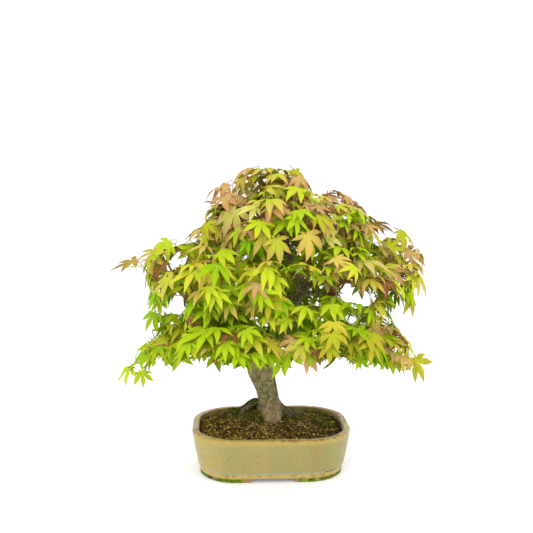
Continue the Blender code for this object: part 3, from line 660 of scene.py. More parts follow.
# A foot's section from its outer line to its inner one: shares of its width and of its height.
FOOT_SECTION = [(0.0, 0.6), (0.0, 0.15), (0.05, 0.0), (0.95, 0.0), (1.0, 0.15), (1.0, 1.0), (0.0, 1.0)]
FOOT_TOP = FOOT_HEIGHT - 0.02 * MM
FOOT_UNEVEN = 0.5 * MM


def make_feet(looks):
    """Four corner feet with worn, rounded edges."""
    heap = Heap(["foot"])
    for sx, sy in product((-1, 1), (-1, 1)):
        rings = []
        for out, back in zip(foot_line(FOOT_INSET), foot_line(FOOT_INSET + FOOT_WIDTH)):
            ring = []
            for share, level in FOOT_SECTION:
                spot = out.lerp(back, share)
                spot = Vector((spot.x * sx, spot.y * sy, level * FOOT_TOP))
                if share == 0 and level < 1:
                    spot.xy += spot.xy.normalized() * FOOT_UNEVEN * noise.noise(spot * 260)
                ring.append(spot)
            rings.append(ring)
        heap.add(*loft(rings), "foot")
    made = heap.object("feet", looks)
    face_outwards(made, 45)
    nodes = [f"foot_{side}_{end}" for side, end in product(("front", "back"), ("left", "right"))]
    return piece(made, nodes)


# ---------------------------------------------------------------- soil, moss and fine roots

SOIL_UNEVEN = 1.1 * MM
GRAINS = 7000
GRAIN_SIZES = (0.6, 2.1)  # mm
GRAIN_LIFT = 0.25
GRAIN_SHAPE = ((0.6, 1.3), (0.6, 1.2), (0.4, 0.9))
GRAIN_HALF = (0.42, 0.68)  # a corner's distance from the middle, as a share of the size
GRIT_COLOURS = {
    "grit_dark": (0.048, 0.030, 0.007),
    "grit_brown": (0.180, 0.108, 0.018),
    "grit_rust": (0.330, 0.125, 0.030),
    "grit_ochre": (0.460, 0.310, 0.045),
    "grit_pale": (0.800, 0.640, 0.170),
}
MOSS_COLOURS = {
    "moss_dark": (0.065, 0.085, 0.010),
    "moss_green": (0.150, 0.215, 0.012),
    "moss_bright": (0.340, 0.430, 0.022),
}
ROOTLET_COLOUR = (0.400, 0.285, 0.130)
MOSS_HEAPS = [  # where moss grows thick on the soil: x, y, radius, height in mm
    (-25, 27, 23, 15), (-44, 36, 20, 6), (-17, 6, 15, 11), (20, 6, 11, 5), (-31, 11, 15, 8),
    (31, 22, 18, 5), (64, 34, 24, 3), (76, 10, 15, 2), (30, 44, 22, 4),
]
THICK_MOSS = 6  # how many of the heaps are moss all over; the rest carry tufts
ROOTLETS = 70


def soil_height(x, y):
    seat = math.hypot((x - SEAT_CENTRE.x) / SEAT_HALF[0], (y - SEAT_CENTRE.y) / SEAT_HALF[1])
    rise = 1 - smooth_step((seat - 1) / SEAT_SLOPE)
    mound = math.hypot(x - MOUND_CENTRE.x, y - MOUND_CENTRE.y) / MOUND_RADIUS
    lift = MOUND_HEIGHT * (1 - smooth_step(mound)) * smooth_step((seat - 1) / MOUND_EDGE)
    return SOIL_RIM_Z + (SEAT_Z - SOIL_RIM_Z) * rise + lift


def ground(x, y):
    """Height of the soil's surface, with moss heaps and crumbs."""
    height = soil_height(x, y)
    for mx, my, radius, lift in MOSS_HEAPS:
        near = math.hypot(x - mx * MM, y - my * MM) / (radius * MM)
        height += lift * MM * (1 - smooth_step(near))
    spot = Vector((x, y, 0))
    return height + SOIL_UNEVEN * (noise.noise(spot * 140) * 0.9 + noise.noise(spot * 420) * 0.6)


def wall_room(x, y):
    """How far a place on the soil is from the pot's wall."""
    dx = max(0, abs(x) - POT_LENGTH / 2 + POT_CORNER)
    dy = max(0, abs(y) - POT_DEPTH / 2 + POT_CORNER)
    return POT_CORNER - POT_WALL - math.hypot(dx, dy)


def soil_edge(z):
    drop = max(0, POT_HEIGHT - 2 * LIP_ROUND - z) / (POT_HEIGHT - 2 * LIP_ROUND - FOOT_HEIGHT - POT_FLOOR)
    return pot_ring(POT_WALL + GAP * 1.5 + POT_TAPER * drop, z)


SOIL_RINGS = 44


def make_soil(looks):
    rings = [soil_edge(FOOT_HEIGHT + POT_FLOOR + GAP), soil_edge(SOIL_RIM_Z - 3 * MM)]
    edge = soil_edge(SOIL_RIM_Z)
    for step in range(SOIL_RINGS):
        share = 1 - step / SOIL_RINGS
        ring = []
        for point in edge:
            x = SEAT_CENTRE.x * (1 - share) + point.x * share
            y = SEAT_CENTRE.y * (1 - share) + point.y * share
            ring.append(Vector((x, y, ground(x, y))))
        rings.append(ring)
    heap = Heap(["soil"])
    heap.add(*loft(rings), "soil")
    made = heap.object("soil_bed", looks)
    face_outwards(made)
    return piece(made, ["soil"])


TRUNK_ROOM = 15 * MM


def on_soil(rng, keep=0.97):
    """A chance place on the soil, clear of the trunk's foot, as x and y."""
    corner = POT_CORNER - POT_WALL
    while True:
        x = rng.uniform(-1, 1) * (POT_LENGTH / 2 - POT_WALL) * keep
        y = rng.uniform(-1, 1) * (POT_DEPTH / 2 - POT_WALL) * keep
        dx = max(0, abs(x) - (POT_LENGTH / 2 - POT_WALL) * keep + corner)
        dy = max(0, abs(y) - (POT_DEPTH / 2 - POT_WALL) * keep + corner)
        far = math.hypot(x - SEAT_CENTRE.x, y - SEAT_CENTRE.y)
        if math.hypot(dx, dy) < corner and far > TRUNK_ROOM:
            return x, y


def chance(rng, *spans):
    """A vector with each part drawn from its span."""
    return Vector([rng.uniform(*span) for span in spans])


CUBE = [Vector((x, y, z)) for x in (-1, 1) for y in (-1, 1) for z in (-1, 1)]
CUBE_FACES = [(0, 1, 3, 2), (4, 6, 7, 5), (0, 4, 5, 1), (2, 3, 7, 6), (0, 2, 6, 4), (1, 5, 7, 3)]


def make_grains(looks):
    """Grit and crumbs lying on the soil, most of them dark, some ochre and a few pale."""
    rng = random.Random(SEED)
    heap = Heap(GRIT_COLOURS)
    for _ in range(GRAINS):
        x, y = on_soil(rng)
        size = rng.triangular(*GRAIN_SIZES, GRAIN_SIZES[0]) * MM
        drift = noise.noise(Vector((x, y, 0)) * 75) * 0.8 - x * 5
        pale = max(0.2, 1 + 1.3 * drift)
        look = rng.choices(heap.looks, (46 / pale, 25, 8, 12 * pale, 5 * pale))[0]
        turn = chance(rng, (-1, 1), (-1, 1), (-1, 1)).to_track_quat("X", "Z")
        shape = chance(rng, *GRAIN_SHAPE)
        spot = Vector((x, y, ground(x, y) + size * GRAIN_LIFT))
        corners = [turn @ (c * shape) * (size * rng.uniform(*GRAIN_HALF)) + spot for c in CUBE]
        heap.add(corners, CUBE_FACES, look)
    return piece(heap.object("grit", looks))


# Chances of dark, green and bright moss.
ROOT_MOSS = (62, 31, 7)
HEAP_MOSS = (55, 37, 8)
TUFT_MOSS = (15, 50, 35)
LOOSE_MOSS = (25, 42, 33)
FOOT_MOSS = (10, 30, 60)
FOOT_MOSS_THIN = (64, 24, 12)
HEAP_SHOOTS = 4  # for each square mm of a heap's radius
TUFT_SHOOTS = 55
LOOSE_PATCHES = 130
LOOSE_SHOOTS = 24
TUFT_SIZES = (1.5, 4.5)  # mm
LOOSE_SIZES = (1.0, 2.8)  # mm
FOOT_SHOOTS = 1700
FOOT_MOSS_PLACE = Vector((7, 3, 5))  # in the noise that spreads moss over the feet
FOOT_MOSS_FROM = -0.08  # the noise from which moss grows, and from which it is thick
FOOT_MOSS_FULL = 0.04
MOSS_WALL_ROOM = 1.5 * MM
SHOOT_SINK = 0.4 * MM
SHOOT_TURNS = (0, 2.09, 4.19)
SHOOT_SIDES = [(0, 1, 3), (1, 2, 3), (2, 0, 3)]
SHOOT_WIDTHS = (0.35, 0.7)  # mm, like the ones below
SHOOT_HEIGHTS = (1.2, 2.8)
ROOT_SHOOT_HEIGHTS = (1.0, 2.4)
FOOT_SHOOT_HEIGHTS = (0.6, 1.6)
FOOT_SHOOT_WIDTHS = (0.3, 0.6)


class Moss:
    """Shoots of moss, each a thin three-sided spike."""

    def __init__(self):
        self.rng = random.Random(SEED + 1)
        self.heap = Heap(MOSS_COLOURS)

    def shoot(self, spot, lean, heights, widths, chances):
        height = self.rng.uniform(*heights) * MM
        width = self.rng.uniform(*widths) * MM
        look = self.rng.choices(self.heap.looks, chances)[0]
        side = lean.orthogonal().normalized()
        up = lean.cross(side)
        turn = self.rng.uniform(0, 6.28)
        ring = [spot + (side * math.cos(turn + a) + up * math.sin(turn + a)) * width for a in SHOOT_TURNS]
        self.heap.add([*ring, spot + lean * height], SHOOT_SIDES, look)

    def patch(self, x, y, radius, count, chances):
        """Shoots spread over a round patch of soil, inside the pot's wall."""
        for _ in range(count):
            turn = self.rng.uniform(0, 2 * math.pi)
            far = radius * math.sqrt(self.rng.random())
            px, py = x + far * math.cos(turn), y + far * math.sin(turn)
            if wall_room(px, py) < MOSS_WALL_ROOM:
                continue
            lean = Vector((self.rng.uniform(-0.6, 0.6), self.rng.uniform(-0.6, 0.6), 1)).normalized()
            spot = Vector((px, py, ground(px, py) - SHOOT_SINK))
            self.shoot(spot, lean, SHOOT_HEIGHTS, SHOOT_WIDTHS, chances)

    def on_roots(self):
        for root, first, last, count in MOSSY_ROOTS:
            for _ in range(count):
                centre, radius = line_at(SURFACE_ROOTS[root], self.rng.uniform(first, last))
                out = Vector([self.rng.gauss(middle, 1) for middle in (0, 0, 0.5)]).normalized()
                self.shoot(centre + out * radius, out, ROOT_SHOOT_HEIGHTS, SHOOT_WIDTHS, ROOT_MOSS)

    def on_ground(self):
        """Thick moss on the first heaps, tufts round the others and loose patches at the right."""
        for x, y, radius, _ in MOSS_HEAPS[:THICK_MOSS]:
            self.patch(x * MM, y * MM, radius * MM, radius * radius * HEAP_SHOOTS, HEAP_MOSS)
        for x, y, radius, _ in MOSS_HEAPS[THICK_MOSS:]:
            for _ in range(radius):
                px = x * MM + self.rng.gauss(0, radius * 0.6) * MM
                py = y * MM + self.rng.gauss(0, radius * 0.6) * MM
                self.patch(px, py, self.rng.uniform(*TUFT_SIZES) * MM, TUFT_SHOOTS, TUFT_MOSS)
        for _ in range(LOOSE_PATCHES):
            x, y = on_soil(self.rng, 0.93)
            if self.rng.random() < 0.25 + 9 * x:
                self.patch(x, y, self.rng.uniform(*LOOSE_SIZES) * MM, LOOSE_SHOOTS, LOOSE_MOSS)

    def on_foot(self, sx, sy):
        """Moss on the outer face of one foot, away from its inner end."""
        line = foot_line(FOOT_INSET - 0.2 * MM)
        for _ in range(FOOT_SHOOTS):
            place = self.rng.random() * (len(line) - 1.001)
            spot = line[int(place)].lerp(line[int(place) + 1], place % 1)
            spot = Vector((spot.x * sx, spot.y * sy, FOOT_HEIGHT * self.rng.uniform(0.25, 1.0)))
            thick = noise.noise(spot * 80 + FOOT_MOSS_PLACE)
            if thick < FOOT_MOSS_FROM or abs(spot.x) < FOOT_END_X + 5 * MM:
                continue
            out = Vector((spot.x, spot.y, 0)).normalized()
            lean = (out + chance(self.rng, (-0.5, 0.5), (-0.5, 0.5), (-0.2, 0.7))).normalized()
            chances = FOOT_MOSS_THIN if thick < FOOT_MOSS_FULL else FOOT_MOSS
            self.shoot(spot, lean, FOOT_SHOOT_HEIGHTS, FOOT_SHOOT_WIDTHS, chances)


def make_moss(looks):
    """Short shoots of moss over the heaps, along the right of the soil and on the feet."""
    moss = Moss()
    moss.on_roots()
    moss.on_ground()
    for sx, sy in product((-1, 1), (-1, 1)):
        moss.on_foot(sx, sy)
    return piece(moss.heap.object("moss", looks))


ROOTLET_AZIMUTH = (-25, 75)
ROOTLET_START = (20, 60)  # mm
ROOTLET_POINTS = (12, 34)
ROOTLET_THICK = (0.22, 0.5)  # mm
ROOTLET_STEP = 2 * MM
ROOTLET_WALL_ROOM = 2.5 * MM
ROOTLET_LIFT = 0.5 * MM


def make_rootlets(looks):
    """Fine pale roots that wander over the soil, most of them on the right and in front."""
    rng = random.Random(SEED + 2)
    heap = Heap(["rootlet"])
    for _ in range(ROOTLETS):
        turn = rng.gauss(*ROOTLET_AZIMUTH)
        start = rng.uniform(*ROOTLET_START)
        x = SEAT_CENTRE.x + start * math.cos(math.radians(turn)) * MM
        y = SEAT_CENTRE.y + start * 0.75 * math.sin(math.radians(turn)) * MM
        heading = math.radians(turn + rng.gauss(0, 50))
        bend = rng.gauss(0, 0.12)
        points = []
        for _ in range(rng.randint(*ROOTLET_POINTS)):
            if wall_room(x, y) < ROOTLET_WALL_ROOM:
                break
            points.append(Vector((x, y, ground(x, y) + ROOTLET_LIFT * rng.uniform(0.2, 1.6))))
            bend = bend * 0.85 + rng.gauss(0, 0.09)
            heading += bend
            x += ROOTLET_STEP * math.cos(heading)
            y += ROOTLET_STEP * math.sin(heading)
        if len(points) > 5:
            thick = rng.uniform(*ROOTLET_THICK) * MM
            radii = [thick * (1 - 0.7 * i / len(points)) for i in range(len(points))]
            heap.add(*tube(points, radii, 5), "rootlet")
    return piece(heap.object("rootlets", looks))


# ---------------------------------------------------------------- trunk and boughs

# Rings, points to a ring and strength of the bark's relief.
TRUNK_MESH = (300, 88, 1.0)
ROOT_MESH = (50, 28, 1.0)
BOUGH_MESH = (60, 20, 0.8)
RELIEF_FULL = 8 * MM  # the radius from which the relief has its full strength
# Surface roots that run on from the flare: points as (x, y, z, radius) in mm.
SURFACE_ROOTS = [
    [(-12, 17, 77, 4.2), (-21, 16.5, 77, 4.6), (-30, 14.5, 71, 4.4), (-37, 11.5, 62, 3.8), (-43, 8, 51, 2.8)],
    [
        (10, 15, 68, 5.0), (20, 19, 64.5, 4.6), (29, 22, 62, 4.2),
        (39, 22, 59.5, 3.6), (50, 23, 56.5, 2.8), (59, 22, 51, 2.0),
    ],
    [(-1, 6, 78, 4.0), (1, 0.5, 68, 4.0), (3, -3.5, 60, 4.4), (4, -6, 54, 4.4)],
]
# Moss on them: which root, from and to where, and how many shoots.
MOSSY_ROOTS = [(0, 0.2, 2.1, 1500), (1, 0.0, 1.6, 900)]


def spline(points, place):
    """A point on the Catmull-Rom curve through points, where place 1.5 is halfway from 1 to 2."""
    last = len(points) - 1
    span = min(int(place), last - 1)
    t = place - span
    a, b = points[span], points[span + 1]
    before = points[span - 1] if span > 0 else a * 2 - b
    after = points[span + 2] if span + 2 <= last else b * 2 - a
    slope = (b - before) * t
    curve = (before * 2 - a * 5 + b * 4 - after) * t ** 2
    twist = (a * 3 - before - b * 3 + after) * t ** 3
    return a + (slope + curve + twist) * 0.5


def line_at(line, place):
    """The centre and the radius at a place on a line of (x, y, z, radius) points in mm."""
    found = spline([Vector(point) * MM for point in line], place)
    return Vector(found[:3]), found[3]


def trunk_at(place):
    return line_at(TRUNK_LINE, place)


def trunk_place(height):
    """The place on the trunk's line that lies at a height."""
    low, high = 0.0, len(TRUNK_LINE) - 1.0
    for _ in range(40):
        half = (low + high) / 2
        if trunk_at(half)[0].z < height:
            low = half
        else:
            high = half
    return low


def off_azimuth(angle, azimuth):
    """How far an angle in radians is from an azimuth, in degrees from -180 to 180."""
    return (math.degrees(angle) - azimuth + 180) % 360 - 180


def flare(angle, rise):
    """How far the trunk's foot reaches out into its surface roots."""
    fade = max(0, 1 - rise / FLARE_HEIGHT) ** FLARE_FADE
    push = 0
    for azimuth, reach, spread in FLARE_ROOTS:
        push += reach * MM * math.exp(-((off_azimuth(angle, azimuth) / spread) ** 2) * 1.6) * fade
    return push


def bulge(angle, level):
    """How far the trunk swells to one side above its flare."""
    height, azimuth, reach, spread, half = TRUNK_BULGE
    off = off_azimuth(angle, azimuth)
    return reach * MM * math.exp(-((off / spread) ** 2) - ((level / MM - height) / half) ** 2)


def bark_relief(point, along):
    """How far the bark stands out at a point: long low ribs, fine grain and ring scars."""
    grain = Vector((point.x, point.y, point.z * 0.22))
    relief = 0.55 * noise.noise(grain * 170) + 0.28 * noise.noise(grain * 520)
    relief += 0.18 * noise.noise(point * 700)
    relief += 0.9 * noise.noise(Vector((point.x, point.y, point.z * 0.6)) * 60)
    for across, height, climb in RING_SCARS:
        off = point.z - height * MM - (point.x - across * MM) * climb + 1.2 * MM * noise.noise(point * 130)
        relief += 0.7 * math.exp(-((off / RING_WIDTH) ** 2))
    return relief * MM * along


def limb_mesh(heap, line, rings, sides, relief, ripple=0.0, rooted=False):
    """Adds a tapering limb with bark, along a line of (x, y, z, radius) points in mm."""
    spans = len(line) - 1
    foot = line_at(line, 0)[0].z
    skin = []
    for k in range(rings + 1):
        place = spans * k / rings
        centre, radius = line_at(line, place)
        ahead = line_at(line, min(place + 0.05, spans))[0] - line_at(line, max(place - 0.05, 0))[0]
        level = smooth_step(place) if rooted else 1
        up = Vector((0, 0, 1)).lerp(ahead.normalized(), level).normalized()
        side = Vector((0, 1, 0)).cross(up).normalized()
        back = up.cross(side).normalized()
        ring = []
        for i in range(sides):
            angle = 2 * math.pi * i / sides
            out = radius * (1 + ripple * math.sin(3 * angle + place))
            if rooted:
                out += flare(angle, centre.z - foot) + bulge(angle, centre.z)
            way = side * math.cos(angle) + back * math.sin(angle)
            spot = centre + way * out
            ring.append(spot + way * bark_relief(spot, relief * min(1, radius / RELIEF_FULL) ** 0.5))
        skin.append(ring)
    heap.add(*loft(skin), "bark")


def make_trunk(looks):
    heap = Heap(["bark"])
    limb_mesh(heap, TRUNK_LINE, *TRUNK_MESH, TRUNK_RIPPLE, rooted=True)
    made = heap.object("trunk_bark", looks)
    face_outwards(made)
    return piece(made, ["trunk"])


def make_surface_roots(looks):
    heap = Heap(["bark"])
    for line in SURFACE_ROOTS:
        limb_mesh(heap, line, *ROOT_MESH)
    made = heap.object("surface_roots", looks)
    face_outwards(made)
    return piece(made)


def ellipsoid_scale(way, half):
    return math.sqrt(sum((way[i] / (half[i] * MM)) ** 2 for i in range(3)))


CLEAR_STEP = 0.05 * MM
CLEAR_STEPS = 900


def clear_of(tree, centre, direction, radius, gap):
    """Moves centre along direction until a disc of that radius stands clear of the tree's surface."""
    side = direction.orthogonal().normalized()
    up = direction.cross(side)
    spot = centre.copy()
    for _ in range(CLEAR_STEPS):
        worst = math.inf
        for point in [spot, *disc_rim(spot, side, up, radius, 12)]:
            near, normal, _, distance = tree.find_nearest(point)
            inside = (point - near).dot(normal) < 0
            worst = min(worst, -distance if inside else distance)
        if worst >= gap:
            break
        spot = spot + direction * CLEAR_STEP
    return spot


def bough_line(limb, trunk_tree, rng):
    """Points and radii of one bough, from clear of the trunk to where it enters its mass."""
    _, height, thick, thin, arch, centre, half, _ = limb
    root = trunk_at(trunk_place(height * MM))[0]
    centre = Vector(centre) * MM
    way = centre - root
    tip = centre - way * (ENTRY / ellipsoid_scale(way, half))
    leave = ((tip - root).normalized() + Vector((0, 0, BOUGH_LIFT))).normalized()
    start = clear_of(trunk_tree, root, leave, thick * MM, GAP)
    run = tip - start
    side = run.cross(Vector((0, 0, 1))).normalized()
    phase = rng.uniform(0, 2 * math.pi)
    points, radii = [], []
    for i in range(BOUGH_POINTS):
        t = i / (BOUGH_POINTS - 1)
        hump = 4 * t * (1 - t)
        waver = math.sin(phase + t * BOUGH_WAVES) * run.length * BOUGH_WAVER * hump
        points.append(start + run * t + Vector((0, 0, arch * MM * hump)) + side * waver)
        radii.append((thick + (thin - thick) * t ** 0.8) * MM)
    points[1] = start + leave * (points[1] - start).length
    return points, radii


COLLAR_DEPTH = 4 * MM  # how far a bough's foot is sunk into the trunk
COLLAR = (1.5, 1.25)  # its radius there and at the trunk's surface, as a share of the bough's


def make_boughs(lines, looks):
    """Boughs with bark, each with a collar where it grows out of the trunk."""
    heap = Heap(["bark"])
    for points, radii in lines:
        heading = (points[1] - points[0]).normalized()
        line = [(points[0] - heading * COLLAR_DEPTH, radii[0] * COLLAR[0]), (points[0], radii[0] * COLLAR[1])]
        line += list(zip(points[1:], radii[1:]))
        limb_mesh(heap, [(*(p / MM), r / MM) for p, r in line], *BOUGH_MESH)
    made = heap.object("boughs_bark", looks)
    face_outwards(made)
    return piece(made, ["bough_" + limb[0] for limb in LIMBS])


# ---------------------------------------------------------------- leaves

LEAF_LENGTH = 35 * MM  # of the middle lobe
LEAF_KINDS = 22
# Lobes: angle from the middle one, and length as a share of it.
LOBES = [(-126, 0.30), (-84, 0.66), (-42, 0.94), (0, 1.0), (42, 0.94), (84, 0.66), (126, 0.30)]
SINUS = 0.27  # how near the notches between lobes come to the stalk
# A lobe's toothed edge from notch to tip: place along the lobe and half width, as shares of it.
EDGE = [
    (0.34, 0.116), (0.43, 0.148), (0.46, 0.136), (0.54, 0.149), (0.57, 0.130), (0.66, 0.122),
    (0.69, 0.098), (0.77, 0.080), (0.80, 0.056), (0.87, 0.040), (0.90, 0.020),
]
VEIN_SHARES = [0.12, 0.28, 0.46, 0.57, 0.69, 0.80, 0.90]
VEIN_HALF = 0.012
STRIP_ZONES = ["inner", "inner", "outer", "outer", "outer", "tip", "tip"]  # from stalk to tip
HEEL = 0.07  # how near the outermost lobes' lower sides come to the stalk
HEEL_TURN = 0.35
SKETCH_PLACE = 0.55  # where along a lobe its sketch is widest
SKETCH_HALF = 0.11


def leaf_kind(rng, droop):
    """One leaf as points, faces and the zone of each face, lying in the XY plane with its middle
    lobe along +X and its upper side up, at length 1 and with the stalk's end at the origin. Droop
    is how far its lobes curl down. Its sketch, two faces to a lobe, is for testing where it fits."""
    angles = [math.radians(a + rng.gauss(0, 4)) for a, _ in LOBES]
    lengths = [length * rng.uniform(0.88, 1.08) for _, length in LOBES]
    bends = [rng.gauss(0, 0.10) for _ in LOBES]
    curls = [droop * rng.uniform(0.6, 1.4) for _ in LOBES]
    twists = [rng.gauss(0, 0.22) for _ in LOBES]
    fold = rng.uniform(0.15, 0.50)
    cup = rng.uniform(-0.1, 0.35)
    points, faces, zones = [(0, 0, 0)], [], []

    def place(lobe, along, across):
        """A point on a lobe, given in shares of its length: bent sideways, folded along its vein
        and curled down to its tip."""
        length = lengths[lobe]
        turn = angles[lobe] + bends[lobe] * along * along
        x = length * (along * math.cos(turn) - across * math.sin(turn))
        y = length * (along * math.sin(turn) + across * math.cos(turn))
        rise = length * (abs(across) * fold + across * twists[lobe] * along - curls[lobe] * along * along)
        return (x, y, rise + cup * (x * x + y * y) * 0.5)

    def mark(point):
        """Adds a point and gives its number."""
        points.append(point)
        return len(points) - 1

    notches = []
    for i in range(len(LOBES) - 1):
        angle = (angles[i] + angles[i + 1]) / 2
        reach = SINUS * (lengths[i] + lengths[i + 1]) / 2
        notches.append(mark((reach * math.cos(angle), reach * math.sin(angle), reach * 0.12)))
    heels = []
    for angle in (angles[0] - HEEL_TURN, angles[-1] + HEEL_TURN):
        heels.append(mark((HEEL * math.cos(angle), HEEL * math.sin(angle), 0.01)))
    notches = [heels[0], *notches, heels[1]]
    for lobe in range(len(LOBES)):
        veins = []
        for share in VEIN_SHARES:
            half = VEIN_HALF * (1 - 0.75 * share)
            veins.append([mark(place(lobe, share, side * half)) for side in (-1, 1)])
        tip = mark(place(lobe, 1, 0))
        for number, side in enumerate((-1, 1)):
            rim = [mark(place(lobe, share, side * half)) for share, half in EDGE]
            vein = [pair[number] for pair in veins]
            notch = notches[lobe + number]
            strips = [(0, notch, vein[1], vein[0]), (notch, *rim[:3], vein[2], vein[1])]
            strips += [(*rim[k:k + 3], vein[k // 2 + 2], vein[k // 2 + 1]) for k in (2, 4, 6, 8)]
            strips.append((rim[-1], tip, vein[-1]))
            faces += strips if side < 0 else [strip[::-1] for strip in strips]
            zones += STRIP_ZONES
        faces.append((0, *veins[0]))
        faces += [(low[0], high[0], high[1], low[1]) for low, high in zip(veins, veins[1:])]
        faces.append((veins[-1][0], tip, veins[-1][1]))
        zones += ["vein"] * len(veins) + ["tip"]
    sketch, sketch_faces = [(0, 0, 0)], []
    for lobe in range(1, len(LOBES) - 1):
        start = len(sketch)
        sketch.append(place(lobe, SKETCH_PLACE, -SKETCH_HALF))
        sketch.append(place(lobe, 1, 0))
        sketch.append(place(lobe, SKETCH_PLACE, SKETCH_HALF))
        sketch_faces += [(0, start, start + 1), (0, start + 1, start + 2)]
    return {
        "points": np.array(points), "faces": faces, "zones": zones,
        "sketch": np.array(sketch), "sketch_faces": sketch_faces,
    }


# ---------------------------------------------------------------- crown

# The crown's outline from the front, as x and z in mm on the plane through the trunk.
CROWN_OUTLINE = [
    (-203, 112), (-176, 138), (-171, 152), (-155, 163), (-152, 185), (-157, 200), (-158, 240), (-167, 252),
    (-198, 252), (-190, 258), (-166, 262), (-145, 278), (-113, 293), (-86, 311), (-80, 333), (-90, 342),
    (-67, 365), (-37, 380), (3, 385), (40, 375), (51, 357), (70, 354), (106, 355), (122, 324),
    (155, 311), (188, 290), (198, 262), (207, 230), (203, 222), (187, 219), (186, 193), (166, 200),
    (156, 188), (180, 162), (194, 138), (207, 105), (190, 117), (170, 110), (150, 117), (128, 124),
    (110, 119), (92, 133), (72, 120), (50, 124), (25, 109), (2, 111), (-8, 131), (-21, 102),
    (-32, 122), (-48, 124), (-61, 135), (-68, 113), (-76, 133), (-100, 130), (-111, 136), (-124, 117),
    (-138, 133), (-152, 126), (-161, 102), (-172, 119), (-186, 123),
]
# Openings that show the sky, on the same plane: low and high corner.
SKY_GAPS = [
    (92, 211, 111, 229), (-126, 199, -110, 221), (-122, 259, -106, 273), (-66, 339, -60, 352),
    (119, 208, 128, 222), (98, 183, 109, 193), (144, 297, 151, 305), (-139, 195, -130, 204),
    (160, 140, 168, 151), (-33, 370, -25, 376), (156, 216, 164, 227), (-20, 184, -12, 192),
    (174, 263, 179, 270), (124, 221, 131, 229), (-135, 251, -127, 257), (-15, 362, -9, 369),
    (-46, 350, -40, 356), (60, 257, 64, 261), (-61, 150, -55, 157), (180, 140, 186, 147),
]
# Places where no leaf hides the trunk and its boughs: low and high corner.
LIMBS_SHOW = [(13, 262, 28, 291), (27, 207, 45, 239), (46, 215, 67, 227), (-26, 128, -2, 134)]
IN_FRONT = -8 * MM  # the depth from which a leaf can hide them
# Leaves set one by one, at the crown's furthest tips, hanging from its lower edge and on its
# front: mass, where the stalk meets the blade and where the middle lobe ends (x and z), depth,
# how far the blade is turned up from facing the front, and tint.
SET_LEAVES = [
    ("mid_left", (-170, 265), (-204, 254), 0, 76, "bronze"),
    ("mid_left", (-143, 277), (-174, 267), 8, 72, "tanned"),
    ("mid_left", (-143, 264), (-141, 238), -8, 22, "peach"),
    ("mid_left", (-126, 288), (-150, 270), -4, 40, "lime"),
    ("mid_left", (-100, 284), (-99, 258), -10, 30, "mixed"),
    ("upper_left", (-77, 309), (-103, 303), 4, 74, "lime"),
    ("upper_left", (-68, 333), (-88, 322), 0, 66, "fresh"),
    ("upper_left", (-56, 361), (-83, 342), 2, 70, "rose"),
    ("upper_left", (-33, 362), (-44, 337), 4, 36, "dusty"),
    ("apex", (-24, 381), (-50, 374), 0, 76, "rose"),
    ("apex", (30, 378), (46, 356), 0, 64, "olive"),
    ("upper_right", (94, 347), (113, 333), 0, 70, "rose"),
    ("upper_right", (165, 302), (195, 280), 0, 64, "olive"),
    ("mid_right", (172, 277), (201, 253), -6, 58, "rose"),
    ("mid_right", (184, 247), (209, 226), 0, 66, "blush"),
    ("mid_right", (178, 221), (186, 193), 0, 70, "olive"),
    ("low_right", (170, 160), (194, 137), 2, 60, "mixed"),
    ("low_right", (186, 136), (205, 109), 0, 34, "olive"),
    ("low_right", (153, 146), (157, 115), -12, 28, "fresh"),
    ("low_left", (-177, 130), (-203, 112), 0, 74, "lime"),
    ("low_left", (-163, 125), (-161, 102), -6, 30, "lime"),
    ("low_left", (-152, 158), (-172, 149), 4, 55, "fresh"),
    ("low_front_right", (9, 152), (19, 126), -60, 30, "fresh"),
    ("low_left", (-146, 198), (-164, 178), 0, 40, "green"),
    ("mid_left", (-139, 216), (-156, 200), -4, 42, "lime"),
    ("low_left", (-149, 159), (-148, 130), -12, 34, "lime"),
    ("low_left", (-116, 158), (-118, 130), -34, 30, "green"),
    ("low_front_left", (-67, 160), (-66, 134), -62, 30, "deep"),
    ("low_front_left", (-34, 159), (-44, 138), -62, 34, "green"),
    ("low_right", (115, 156), (116, 134), -40, 30, "fresh"),
    ("low_right", (152, 147), (153, 121), -20, 34, "lime"),
    ("mid_right", (114, 236), (116, 214), -5, 30, "green"),
    ("low_front_right", (20, 187), (6, 168), -120, 38, "salmon"),
    ("low_front_right", (35, 170), (49, 150), -118, 34, "salmon"),
    ("low_right", (123, 190), (140, 163), -55, 34, "salmon"),
    ("upper_front", (35, 305), (44, 275), -104, 30, "peach"),
    ("upper_front", (1, 300), (8, 271), -108, 30, "blush"),
    ("mid_front_left", (-76, 268), (-89, 238), -112, 30, "gold"),
    ("upper_left", (-44, 331), (-65, 300), -50, 34, "dusty"),
    ("upper_right", (59, 301), (83, 293), -70, 50, "pale"),
    ("upper_right", (66, 345), (60, 322), -30, 44, "rose"),
]
SET_TWIG = (10 * MM, -1 * MM)  # how far behind and above the blade its twig ends
SET_REACH = 130 * MM
SET_BOW = 0.2
SET_ORDER = 2
LEAF_SIZES = (1.0, 0.86, 0.74)  # tried in turn
LEAF_SCALE = (0.84, 1.0)
SPACE_STEPS = (1.12, 1.02, 0.93, 0.84, 0.74, 0.63, 0.50, 0.36)
LEAF_TRIES = 5
LEAF_SPACING = 7 * MM
LEAF_PLENTY = 1.5
RAGGED = 9  # how far inside the outline, in mm, a leaf may have to end
NEIGHBOUR = 62 * MM
OVERLAP_ROOM = -7 * MM  # how far leaves may reach over the plane between two masses
OVERFILL = 1.2
FACE_OUT = 0.72
FACE_UP = 0.55
HANG_OUT = 0.5
HANG_DOWN = 0.72
LEAF_SHAKE = 0.34
STALK_PULL = 0.8
STALK_EASE = 0.35
STALK_SHORTEST = 7 * MM
STALK_LONGEST = 34 * MM
STALK_RADIUS = 0.48 * MM
